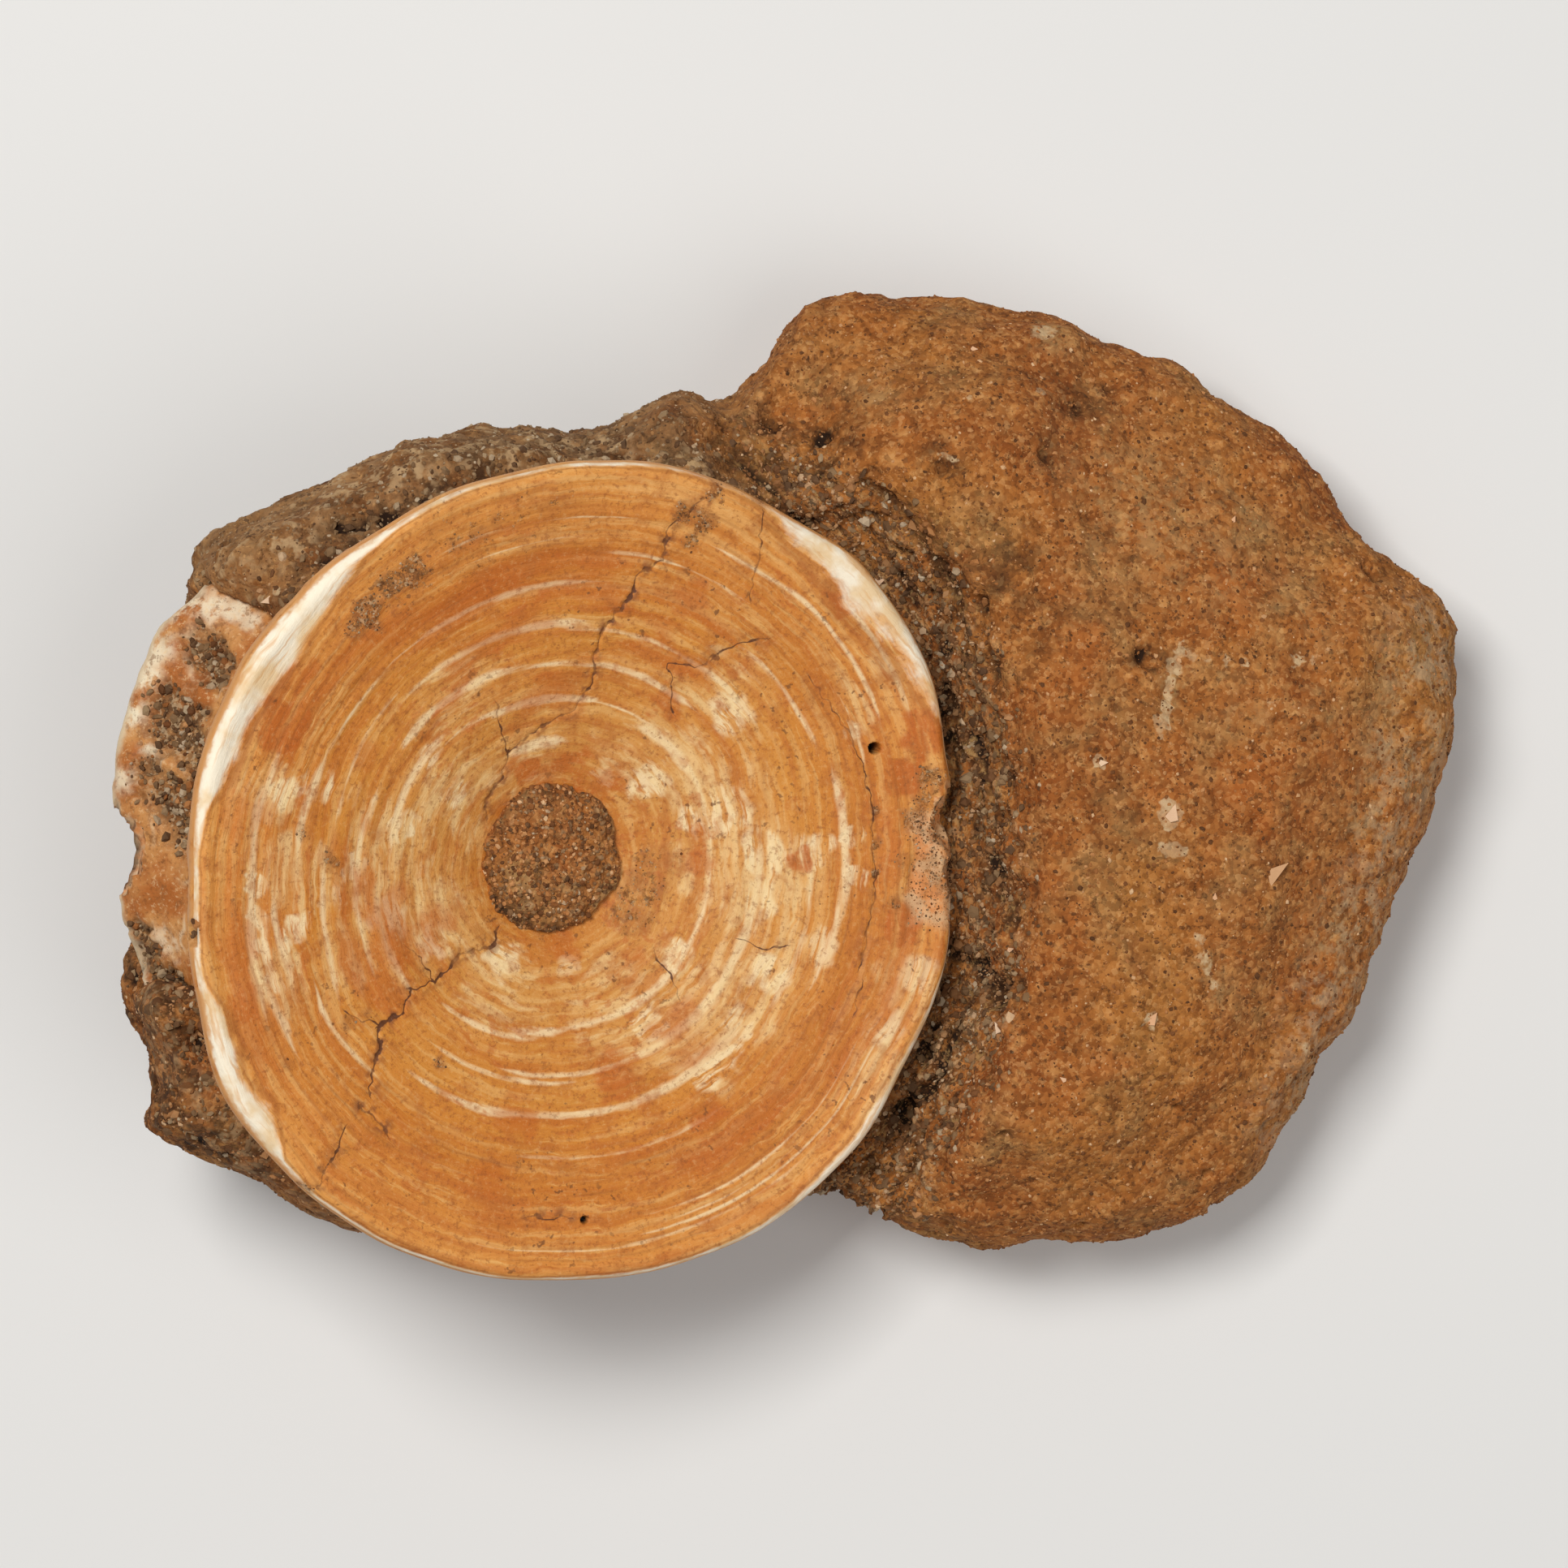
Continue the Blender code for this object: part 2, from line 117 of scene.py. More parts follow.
def apply_modifier(piece, name, kind, **settings):
    pick_only(piece)
    made = piece.modifiers.new(name, kind)
    for key, value in settings.items():
        setattr(made, key, value)
    bpy.ops.object.modifier_apply(modifier=made.name)


def triangles_of(piece):
    piece.data.calc_loop_triangles()
    return len(piece.data.loop_triangles)


# %% [markdown]
# ## Camera, floor and light
#
# The photograph looks straight down on the specimen. Its pixels measure 0.0751 mm in the plane
# of the vertebra's rim, so the camera hangs over the middle of the picture and its lens is
# chosen to cover 1932 of those pixels. The floor is plain and pale. One large lamp from the
# upper left models the rings and the grain, and a weaker one opens the shadows.

# %% Camera over the middle of the picture
PHOTO_SIZE = 1932
PIXEL = 0.0751
RIM_HEIGHT = 41.0
CAMERA_RISE = 550.0
CAMERA_AT = Vector((-1.166, -0.973, RIM_HEIGHT + CAMERA_RISE))
SENSOR = 36.0

bpy.ops.object.select_all(action="DESELECT")
bpy.ops.object.camera_add(location=CAMERA_AT * MM, rotation=(0.0, 0.0, 0.0))
camera = bpy.context.object
camera.data.sensor_width = SENSOR
camera.data.lens = SENSOR * CAMERA_RISE / (PHOTO_SIZE * PIXEL)
bpy.context.scene.camera = camera
bpy.context.scene.view_settings.view_transform = "Standard"
print("lens:", round(camera.data.lens, 2), "mm")


# %% Pale floor, large lamps and a soft sky
def paint(red, green, blue):
    """A colour picked from 0 to 255 on the screen, as the linear colour that Blender mixes."""
    shares = [value / 255.0 for value in (red, green, blue)]
    linear = [s / 12.92 if s <= 0.04045 else ((s + 0.055) / 1.055) ** 2.4 for s in shares]
    return (*linear, 1.0)


def add_lamp(name, place, size, watts):
    bpy.ops.object.light_add(type="AREA", location=Vector(place) * MM)
    lamp = bpy.context.object
    lamp.name = name
    lamp.data.size = size * MM
    lamp.data.energy = watts
    aim = Vector((0.0, 0.0, 20.0)) * MM - lamp.location
    lamp.rotation_euler = aim.to_track_quat("-Z", "Y").to_euler()
    return lamp


bpy.ops.mesh.primitive_plane_add(size=3.0, location=(0.0, 0.0, 0.0))
floor = bpy.context.object
floor.name = "floor"
floor_paint = bpy.data.materials.new("pale floor")
floor_paint.use_nodes = True
floor_shader = floor_paint.node_tree.nodes["Principled BSDF"]
floor_shader.inputs["Base Color"].default_value = paint(226, 224, 220)
floor_shader.inputs["Roughness"].default_value = 0.9
floor.data.materials.append(floor_paint)

add_lamp("key lamp", (-190.0, 200.0, 730.0), 260.0, 4.3)
add_lamp("fill lamp", (360.0, -240.0, 700.0), 600.0, 2.0)
world = bpy.data.worlds.new("soft sky")
world.use_nodes = True
sky = world.node_tree.nodes["Background"]
sky.inputs["Color"].default_value = paint(240, 242, 246)
sky.inputs["Strength"].default_value = 0.21
bpy.context.scene.world = world

# %% [markdown]
# ## The vertebra's measurements
#
# These repeat the CAD model's own values, so that the skin lies on its solid. The rim isn't a
# true circle: its radius is listed every 15 degrees, and so is how far the rear rim grew past
# it. The face is tilted towards the lower right, which bares the wall on the left.

# %% Values that the CAD model also uses, in mm
RIM_RADIUS = 38.4
LENGTH = 24.5
CONE_DEPTH = 10.0
CONE_OFFSET = np.array((-0.7, 0.9))
WAIST_INSET = 4.8
BACK_SCALE = 0.985
FACE_CENTRE = Vector((-19.466, -9.573, RIM_HEIGHT))
TILT = math.radians(24.0)
HEADING = math.radians(-16.0)
RIM_STEP = 15.0
RIM_RADII = [37.7, 38.2, 39.5, 39.7, 38.9, 38.9, 38.5, 38.2, 38.0, 38.5, 38.8, 38.5,
             37.9, 38.4, 39.4, 38.8, 38.5, 38.3, 38.2, 38.6, 39.1, 39.2, 38.3, 38.4]
BACK_GROWTH = [0.0, 0.0, 0.0, 0.0, 0.0, 0.0, -0.6, -1.5, -1.5, 0.8, 2.2, 1.7,
               0.8, -0.2, -2.3, -3.8, -3.5, -2.4, -1.4, -0.6, 0.0, 0.0, 0.0, 0.0]
RIM_WOBBLE = 0.22
print("middle rim radius:", round(sum(RIM_RADII) / len(RIM_RADII), 1), "mm")


# %% From the vertebra's own axes to the frame and back
turn = Quaternion(Vector((-math.sin(HEADING), math.cos(HEADING), 0.0)), TILT).to_matrix()
TURN = np.array(turn)
CENTRE = np.array(FACE_CENTRE)


def to_frame(points):
    return points @ TURN.T + CENTRE


def to_bone(points):
    return (points - CENTRE) @ TURN


def around(values, degrees):
    """Blends a list of values, spaced RIM_STEP degrees apart, at many angles."""
    place = (degrees % 360.0) / RIM_STEP
    before = np.floor(place).astype(int) % len(values)
    after = (before + 1) % len(values)
    share = soft_step(0.0, 1.0, place - np.floor(place))
    values = np.array(values)
    return values[before] * (1.0 - share) + values[after] * share


def angle_of(points):
    return np.degrees(np.arctan2(points[:, 1], points[:, 0]))


def face_depth(share):
    """Depth of the hollow face at a share of the rim's radius: 0 in the middle, 1 at the rim."""
    funnel = CONE_DEPTH * np.maximum(0.0, 1.0 - share) ** 1.12
    return funnel * (1.0 - 0.12 * np.sin(np.pi * share))


print("the face looks along:", TURN[:, 2].round(2).tolist())


# %% [markdown]
# ## Turning the vertebra
#
# A disc-shaped vertebra is close to a turned form, so it is made as on a lathe. One point is
# extruded step by step along half of the section: down the hollow face, over the lip, in to
# the waist, out to the rear rim and back to the axis. The spin operator sweeps that line round.
# Carving it from a sphere would leave uneven points, and the rings need even, fine spacing.

# %% Half of the section
FACE_GAP = 0.31
WALL_GAP = 0.40
SPIN_STEPS = 480


def curve_through(knots, gap):
    """Points at an even spacing on a smooth curve through the knots."""
    knots = np.array(knots, dtype=float)
    ends = np.vstack([2 * knots[0] - knots[1], knots, 2 * knots[-1] - knots[-2]])
    dense = []
    for a, b, c, d in zip(ends, ends[1:], ends[2:], ends[3:]):
        for t in np.linspace(0.0, 1.0, 40, endpoint=False):
            dense.append(0.5 * (2 * b + (c - a) * t + (2 * a - 5 * b + 4 * c - d) * t ** 2
                                + (3 * b - a - 3 * c + d) * t ** 3))
    dense = np.array(dense + [knots[-1]])
    run = np.concatenate([[0.0], np.cumsum(np.linalg.norm(np.diff(dense, axis=0), axis=1))])
    spaced = np.linspace(0.0, run[-1], int(run[-1] / gap) + 1)
    return np.column_stack([np.interp(spaced, run, dense[:, axis]) for axis in (0, 1)])


def section():
    radii = [0.0, 3.0, 5.0] + list(np.arange(5.8, RIM_RADIUS - 2.1, FACE_GAP))
    line = [(radius, -float(face_depth(radius / RIM_RADIUS))) for radius in radii]
    middle = 0.5 * LENGTH
    back = RIM_RADIUS * BACK_SCALE
    wall = [(RIM_RADIUS - 1.9, -0.28), (RIM_RADIUS - 0.9, -0.05), (RIM_RADIUS - 0.15, -0.7),
            (RIM_RADIUS, -1.8), (RIM_RADIUS - 0.9, -3.9), (RIM_RADIUS - 2.8, -6.4),
            (RIM_RADIUS - WAIST_INSET + 0.5, 3.2 - middle), (RIM_RADIUS - WAIST_INSET, -middle),
            (RIM_RADIUS - WAIST_INSET + 0.1, -3.0 - middle), (back - 2.8, 6.2 - LENGTH),
            (back - 0.8, 3.4 - LENGTH), (back, 1.5 - LENGTH), (back - 0.9, -LENGTH)]
    line += [tuple(point) for point in curve_through(wall, WALL_GAP)]
    for share in (0.93, 0.86, 0.7, 0.5, 0.3, 0.12, 0.0):
        line.append((back * share, CONE_DEPTH * (1.0 - share) - LENGTH))
    return line


half_section = section()
print("points in the half section:", len(half_section))


# %% Extrude the line and spin it
def lathe(name, line, steps):
    bpy.ops.object.select_all(action="DESELECT")
    bpy.ops.mesh.primitive_plane_add(size=MM, location=(0.0, 0.0, line[0][1] * MM))
    bpy.ops.object.transform_apply(location=True)
    piece = bpy.context.object
    piece.name = name
    piece.data.name = name
    bpy.ops.object.mode_set(mode="EDIT")
    bpy.ops.mesh.select_mode(type="VERT")
    bpy.ops.mesh.select_all(action="SELECT")
    bpy.ops.mesh.merge(type="CENTER")
    for (near, low), (far, high) in zip(line, line[1:]):
        step = ((far - near) * MM, 0.0, (high - low) * MM)
        bpy.ops.mesh.extrude_region_move(TRANSFORM_OT_translate={"value": step})
    bpy.ops.mesh.select_all(action="SELECT")
    bpy.ops.mesh.spin(steps=steps, angle=math.tau, center=(0.0, 0.0, 0.0), axis=(0.0, 0.0, 1.0))
    bpy.ops.mesh.select_all(action="SELECT")
    bpy.ops.mesh.remove_doubles(threshold=0.00001)
    bpy.ops.mesh.normals_make_consistent(inside=False)
    bpy.ops.object.mode_set(mode="OBJECT")
    return piece


bone = lathe("vertebra_bone", half_section, SPIN_STEPS)
print("turned vertebra:", triangles_of(bone), "triangles")


# %% Grow it out to the real, uneven outline
def to_oval(points):
    """The same shift of each turned point that the CAD model makes."""
    radius = np.hypot(points[:, 0], points[:, 1])
    safe = np.maximum(radius, 0.01)
    degrees = angle_of(points)
    share = radius / RIM_RADIUS
    grow = 1.0 + (around(RIM_RADII, degrees) / RIM_RADIUS - 1.0) * share
    edge = soft_step(0.75, 1.0, share)
    uneven = RIM_WOBBLE * edge * rough(points, 7.0, 3.0)
    backward = soft_step(-0.55 * LENGTH, -0.9 * LENGTH, points[:, 2])
    uneven += around(BACK_GROWTH, degrees) * backward * share
    scale = grow + np.where(radius > 0.01, uneven / safe, 0.0)
    drift = CONE_OFFSET * np.maximum(0.0, 1.0 - share)[:, None]
    height = points[:, 2] + RIM_WOBBLE * edge * rough(points, 9.0, 8.0)
    return np.column_stack([points[:, :2] * scale[:, None] + drift, height])


turned_points = points_of(bone)
growth = turned_points / np.array((RIM_RADIUS, RIM_RADIUS, 1.0))
keep_values(bone, "growth", growth)
move_points(bone, to_frame(to_oval(turned_points)))
print("vertebra box:", [[round(float(v), 1) for v in corner]
                        for corner in (points_of(bone).min(axis=0), points_of(bone).max(axis=0))])

# %% [markdown]
# ## Marks that the photograph shows
#
# The main crack, the pinhole and the patches of dirt have their own places on the real face.
# Each place is given by its pixel in the photograph. A ray from the camera through that pixel
# finds the spot on the surface, so the mark stays where it is on the bone from any side.

# %% From a pixel to the surface
def pixel_ray(x, y):
    half = 0.5 * PHOTO_SIZE
    target = Vector(((x - half) * PIXEL, (half - y) * PIXEL, -CAMERA_RISE))
    return CAMERA_AT, target.normalized()


def spot_on(piece, x, y):
    """Where the photograph's pixel lies on the piece, or None where it misses it."""
    start, heading = pixel_ray(x, y)
    hit, place, _, _ = piece.ray_cast(start * MM, heading)
    return np.array(place) / MM if hit else None


def spots_on_bone(pixels):
    """The pixels' places in the vertebra's own axes, leaving out those that miss it."""
    found = [spot_on(bone, *pixel) for pixel in pixels]
    return to_bone(np.array([place for place in found if place is not None]).reshape(-1, 3))


bpy.context.view_layer.update()
print("middle of the rings:", spots_on_bone([(680, 1058)]).round(2).tolist())

# %% Cracks, each with its width in mm and its pixels
CRACKS = [
    (0.30, [(892, 583), (867, 615), (825, 649), (818, 691)]),
    (0.27, [(818, 691), (783, 710), (777, 733), (749, 768), (733, 806), (731, 842), (709, 875)]),
    (0.21, [(709, 875), (684, 886), (653, 905), (626, 928), (615, 963), (599, 986), (600, 1010)]),
    (0.20, [(615, 1141), (609, 1164), (567, 1176), (536, 1210), (506, 1218)]),
    (0.26, [(506, 1218), (496, 1248), (467, 1264), (469, 1294), (458, 1325), (456, 1348)]),
    (0.20, [(425, 1390), (406, 1432), (391, 1463)]),
    (0.10, [(611, 865), (618, 897), (626, 928)]),
    (0.30, [(444, 1363), (460, 1374), (479, 1402)]),
    (0.09, [(940, 634), (936, 680), (925, 741)]),
    (0.12, [(942, 787), (902, 798), (856, 823), (823, 817), (829, 856), (831, 879)]),
    (0.08, [(998, 834), (1036, 885), (1062, 936)]),
    (0.13, [(1062, 936), (1073, 987), (1079, 1067), (1074, 1131), (1058, 1194)]),
    (0.10, [(807, 1174), (817, 1190), (828, 1207)]),
    (0.09, [(910, 1157), (940, 1170), (969, 1166)]),
    (0.24, [(650, 1500), (676, 1503), (700, 1500)]),
    (0.08, [(1063, 1210), (1052, 1250)]),
    (0.08, [(536, 1210), (520, 1180), (500, 1166)]),
    (0.07, [(467, 1264), (440, 1254), (425, 1246)]),
    (0.07, [(828, 1207), (838, 1232)]),
]


def jagged(line, rng, step=0.5, sway=0.26):
    """Cuts a line into short pieces and pushes each joint a little to one side."""
    made = [line[0]]
    for start, end in zip(line, line[1:]):
        count = max(1, int(np.linalg.norm(end - start) / step))
        across = np.array((start[1] - end[1], end[0] - start[0]))
        across = across / max(np.linalg.norm(across), 0.01)
        for i in range(1, count + 1):
            push = rng.uniform(-sway, sway) if i < count else 0.0
            made.append(start + (end - start) * i / count + across * push)
    return made


crack_rng = random.Random(7)
crack_parts = []
for width, pixels in CRACKS:
    line = jagged(list(spots_on_bone(pixels)[:, :2]), crack_rng)
    crack_parts += [(start, end, width) for start, end in zip(line, line[1:])]
print("short pieces of crack:", len(crack_parts))


# %% Distance from every point of the face to the nearest crack
FAR = 99.0
CRACK_REACH = 4.0


def crack_distance(flat):
    """Distance to the nearest crack, the same with a sign for its side, and its width."""
    nearest = np.full(len(flat), FAR)
    signed = np.full(len(flat), FAR)
    widths = np.zeros(len(flat))
    for start, end, width in crack_parts:
        along = end - start
        close = np.abs(flat - start).max(axis=1) < CRACK_REACH
        offset = flat[close] - start
        share = np.clip(offset @ along / (along @ along), 0.0, 1.0)
        gap = offset - share[:, None] * along
        distance = np.linalg.norm(gap, axis=1)
        side = np.sign(along[0] * offset[:, 1] - along[1] * offset[:, 0])
        rows = np.flatnonzero(close)[distance < nearest[close]]
        better = distance < nearest[close]
        nearest[rows] = distance[better]
        signed[rows] = distance[better] * side[better]
        widths[rows] = width
    return nearest, signed, widths


# %% Finer mesh along the cracks and round the pinhole
PINHOLE = spots_on_bone([(1078, 922)])[0]
PINHOLE_RADIUS = 0.6
PIT = spots_on_bone([(720, 1503)])[0]
PIT_RADIUS = 0.42
FINE_BY_CRACKS = 0.42
FINE_BY_PINHOLE = 1.0
FINE_BY_PIT = 0.75


def refine(piece, wanted, cuts):
    """Subdivides the faces that touch the wanted points."""
    pick_only(piece)
    bpy.ops.object.mode_set(mode="EDIT")
    bpy.ops.mesh.select_mode(type="FACE")
    bpy.ops.mesh.select_all(action="DESELECT")
    bpy.ops.object.mode_set(mode="OBJECT")
    touched = [any(wanted[i] for i in face.vertices) for face in piece.data.polygons]
    piece.data.polygons.foreach_set("select", touched)
    bpy.ops.object.mode_set(mode="EDIT")
    bpy.ops.mesh.subdivide(number_cuts=cuts, ngon=False)
    bpy.ops.object.mode_set(mode="OBJECT")


def settle(piece):
    """Sorts points and faces by place, because subdividing orders them anew on each run."""
    spots = points_of(piece)
    order = np.lexsort(spots.round(4).T)
    rank = np.empty(len(order), dtype=int)
    rank[order] = np.arange(len(order))
    faces = []
    for face in piece.data.polygons:
        corners = rank[list(face.vertices)].tolist()
        first = corners.index(min(corners))
        faces.append(corners[first:] + corners[:first])
    grown_at = values_of(piece, "growth")[order]
    old = piece.data
    piece.data = bpy.data.meshes.new(piece.name)
    piece.data.from_pydata((spots[order] * MM).tolist(), [], sorted(faces))
    keep_values(piece, "growth", grown_at)
    bpy.data.meshes.remove(old)
    piece.data.name = piece.name
    bpy.context.view_layer.update()


local = to_bone(points_of(bone))
distance, _, _ = crack_distance(local[:, :2])
top = local[:, 2] > -CONE_DEPTH - 1.0
refine(bone, (distance < FINE_BY_CRACKS) & top, 1)
print("with finer cracks:", triangles_of(bone), "triangles")
local = to_bone(points_of(bone))
near_hole = np.linalg.norm(local - PINHOLE, axis=1) < FINE_BY_PINHOLE
near_pit = np.linalg.norm(local - PIT, axis=1) < FINE_BY_PIT
refine(bone, near_hole | near_pit, 2)
settle(bone)
print("with finer holes:", triangles_of(bone), "triangles")

# %% [markdown]
# ## Carving the bone
#
# The points of the face now move by small amounts: growth ridges and fine grooves that run
# round the rings, the cracks, the bored pinhole, bites out of both rims, the pits in the bare
# wall and the low crusts of sediment. Real shape catches the light at every angle, which a
# painted line doesn't. The same masks are stored on the mesh, to colour it later.

# %% Where dirt, grit and pits are, from the photograph's pixels
DIRT_SPOTS = [
    (560, 668, 6.0, 0.36), (650, 640, 6.0, 0.34), (490, 730, 4.5, 0.36), (720, 640, 5.0, 0.28),
    (452, 756, 2.3, 1.0), (506, 706, 1.9, 0.95), (590, 660, 1.3, 0.6), (612, 640, 1.4, 0.5),
    (650, 622, 1.5, 0.4), (690, 612, 1.6, 0.4), (845, 632, 1.8, 0.7), (868, 645, 1.4, 0.8),
    (852, 668, 1.2, 0.7), (880, 606, 1.2, 0.9), (935, 617, 1.2, 0.6), (560, 668, 1.3, 0.6),
    (406, 1061, 1.3, 0.6), (372, 1027, 1.0, 0.6), (430, 1260, 1.2, 0.5), (452, 1248, 0.9, 0.5),
    (540, 1310, 0.9, 0.7), (354, 1310, 1.0, 0.5), (795, 1085, 3.6, 0.55), (780, 1125, 2.8, 0.5),
    (825, 1060, 2.2, 0.45), (768, 1100, 1.0, 0.7), (800, 1110, 0.9, 0.6), (1146, 958, 1.6, 0.9),
    (1138, 985, 1.3, 0.8), (1128, 1008, 1.6, 0.7), (1112, 1060, 1.2, 0.5), (1103, 1111, 0.9, 0.6),
    (1146, 1060, 1.2, 0.6), (1150, 1085, 1.3, 0.5), (1080, 1000, 0.7, 0.9), (1081, 1040, 0.7, 0.9),
    (1079, 1075, 0.6, 0.8), (480, 720, 1.6, 0.85), (436, 775, 1.3, 0.8), (702, 1440, 1.6, 0.35),
    (640, 1420, 1.8, 0.3), (840, 1440, 1.6, 0.3), (600, 1420, 1.4, 0.3), (870, 805, 1.4, 0.35),
    (835, 840, 1.1, 0.4), (472, 1345, 1.2, 0.4), (520, 1190, 1.3, 0.35), (410, 1420, 1.6, 0.4),
    (378, 1462, 1.2, 0.6), (1165, 1100, 1.1, 0.6), (1156, 1030, 1.3, 0.6), (665, 1160, 1.2, 0.3),
    (590, 1150, 1.1, 0.4),
]
WALL_PITS = [
    (246, 800, 2.9, 1.2), (262, 830, 1.8, 1.0), (218, 890, 3.4, 1.6), (236, 930, 2.4, 1.3),
    (176, 944, 1.8, 1.0), (205, 985, 3.2, 1.3), (222, 1025, 2.4, 1.0), (240, 960, 2.0, 1.2),
    (196, 860, 2.0, 1.0), (205, 1215, 2.4, 0.9), (176, 1180, 2.2, 1.2), (236, 1150, 1.0, 0.5),
    (168, 1150, 1.6, 1.2), (170, 1205, 2.4, 1.2), (232, 1000, 2.2, 1.0), (192, 905, 1.6, 1.0),
]
PALE_WALL = [
    (186, 770, 2.8, 1.0), (176, 830, 2.2, 1.0), (205, 742, 2.4, 1.0), (160, 880, 1.8, 1.0),
    (185, 925, 0.8, 1.0), (196, 938, 0.8, 1.0), (290, 752, 1.8, 0.9), (310, 765, 1.2, 0.8),
    (235, 742, 2.2, 0.9), (262, 748, 1.8, 0.9), (190, 800, 2.2, 0.9), (205, 1160, 1.8, 0.6),
    (150, 960, 1.4, 0.8), (236, 1120, 1.4, 0.5), (172, 1190, 1.0, 1.0), (178, 1208, 1.0, 1.0),
]
CHIPS = [
    ("front", 6.5, 39.4, 3.9), ("front", -1.0, 39.8, 3.2), ("front", 192.0, 40.8, 2.4),
    ("back", 179.0, 39.4, 4.3), ("back", 182.5, 37.9, 2.2),
]


def add_spot(mask, points, place, radius, strength, uneven, seed, fade):
    """Raises the mask round a place; it fades out between two shares of the radius."""
    gap = np.linalg.norm(points - place, axis=1)
    near = np.flatnonzero(gap < 1.8 * radius)
    ragged = gap[near] * (1.0 + uneven * rough(points[near], uneven * radius, seed))
    level = strength * (1.0 - soft_step(fade[0] * radius, fade[1] * radius, ragged))
    mask[near] = np.maximum(mask[near], level)


def spot_mask(points, spots):
    """1 in the middle of each pixel's spot, fading out with a ragged edge."""
    mask = np.zeros(len(points))
    for x, y, radius, strength in spots:
        centre = spots_on_bone([(x, y)])
        if not len(centre):
            continue
        add_spot(mask, points, centre[0], radius, strength, 0.55, x % 17, (0.45, 1.15))
    return mask


# %% Bites, pits and pinhole
def bite(points, centre, radius, seed):
    """Pushes what lies inside a rough ball out to its surface."""
    gap = points - centre
    distance = np.linalg.norm(gap, axis=1)
    near = np.flatnonzero(distance < 1.4 * radius)
    reach = radius * (1.0 + 0.22 * rough(points[near], 1.1, seed))
    reach *= 1.0 + 0.12 * rough(points[near], 0.45, seed + 5)
    push = np.maximum(1.0, reach / np.maximum(distance[near], 0.05))
    moved = points.copy()
    moved[near] = centre + gap[near] * push[:, None]
    broken = np.zeros(len(points))
    broken[near] = push > 1.0
    return moved, broken


local = to_bone(points_of(bone))
growth = values_of(bone, "growth")
ring = np.linalg.norm(growth[:, :2], axis=1)
heading = growth[:, :2] / np.maximum(ring, 0.001)[:, None]
front = (growth[:, 2] > -CONE_DEPTH - 0.1) & (local[:, 2] > -CONE_DEPTH - 1.5) & (growth[:, 2] > -9.5)
front = front & (ring * RIM_RADIUS < RIM_RADIUS - 0.6) & (growth[:, 2] > -face_depth(ring) - 0.25)
wall = growth[:, 2] < -face_depth(np.minimum(ring, 1.0)) - 0.5
dirt = spot_mask(local, DIRT_SPOTS)
print("points on the face:", int(front.sum()), "and on the wall:", int(wall.sum()))

# %% The ivory band round the rim, and how the outer rings bend round it
BAND = [
    (0, 0.1), (14, 0.1), (20, 0.3), (25, 1.2), (31, 2.2), (38, 2.9), (44, 4.0), (47, 3.2), (52, 2.6),
    (57, 1.7), (61, 1.0), (68, 0.6), (78, 0.35), (90, 0.35), (120, 0.4), (126, 0.8), (130, 1.6),
    (136, 2.6), (144, 3.7), (150, 2.9), (155, 2.5), (160, 2.9), (165, 2.2), (169, 0.9), (175, 0.4),
    (193, 0.5), (197, 1.3), (203, 2.2), (208, 1.9), (214, 2.6), (218, 1.3), (221, 0.4), (235, 0.25),
    (262, 0.3), (295, 0.6), (320, 1.0), (338, 0.8), (346, 0.2), (350, 0.15), (360, 0.1),
]
RING_BEND = 0.7

degrees = angle_of(growth) % 360.0
band_width = np.interp(degrees, [angle for angle, _ in BAND], [width for _, width in BAND])
smoother = [np.interp((degrees + shift) % 360.0, *zip(*BAND)) for shift in (-8, -4, 0, 4, 8)]
bend = RING_BEND * (np.mean(smoother, axis=0) - 1.0) / RIM_RADIUS * soft_step(0.60, 0.95, ring)
grown = growth * np.column_stack([1.0 + bend, 1.0 + bend, np.ones(len(bend))])
grown_ring = ring * (1.0 + bend)
print("ivory band, widest:", round(float(band_width.max()), 1), "mm")

# %% Ridges of the growth rings
GROOVES = [
    (0.69, 0.5), (0.735, 0.9), (0.765, 0.6), (0.79, 1.0), (0.82, 0.6), (0.85, 0.9), (0.875, 0.7),
    (0.905, 0.8), (0.935, 1.0), (0.96, 0.7),
]

across = grown_ring * RIM_RADIUS
round_it = np.column_stack([heading * 1.7, across])
ridges = 0.13 * rough(round_it * (1.0, 1.0, 0.45), 1.0, 31.0)
ridges += 0.09 * rough(round_it * (1.6, 1.6, 1.0), 1.0, 32.0)
ridges += 0.035 * rough(round_it * (3.0, 3.0, 2.0), 1.0, 33.0)
for place, depth in GROOVES:
    wander = 0.004 * rough(np.column_stack([heading * 1.2, ring * 0 + place * 40]), 1.0, 2.0)
    sector = rough(np.column_stack([heading * 1.5, ring * 0 + place * 90]), 1.0, 9.0)
    sector = soft_step(-0.35, 0.35, sector)
    ridges -= 0.12 * depth * sector * np.exp(-((grown_ring - place - wander) / 0.0075) ** 2)
ridges *= soft_step(0.2, 0.36, ring) * soft_step(0.985, 0.955, ring)
ridges *= 1.0 - 0.75 * soft_step(0.8, 1.6, band_width) * soft_step(band_width + 1.0, band_width - 0.5,
                                                                   (1.0 - ring) * RIM_RADIUS)
skin = 0.05 * rough(local, 1.6, 41.0) + 0.22 * rough(local, 9.0, 42.0) * soft_step(0.2, 0.5, ring)
skin *= soft_step(0.985, 0.955, ring)
lift = np.where(front, ridges + skin, 0.0)
print("ridges in mm:", round(float(lift.min()), 2), "to", round(float(lift.max()), 2))

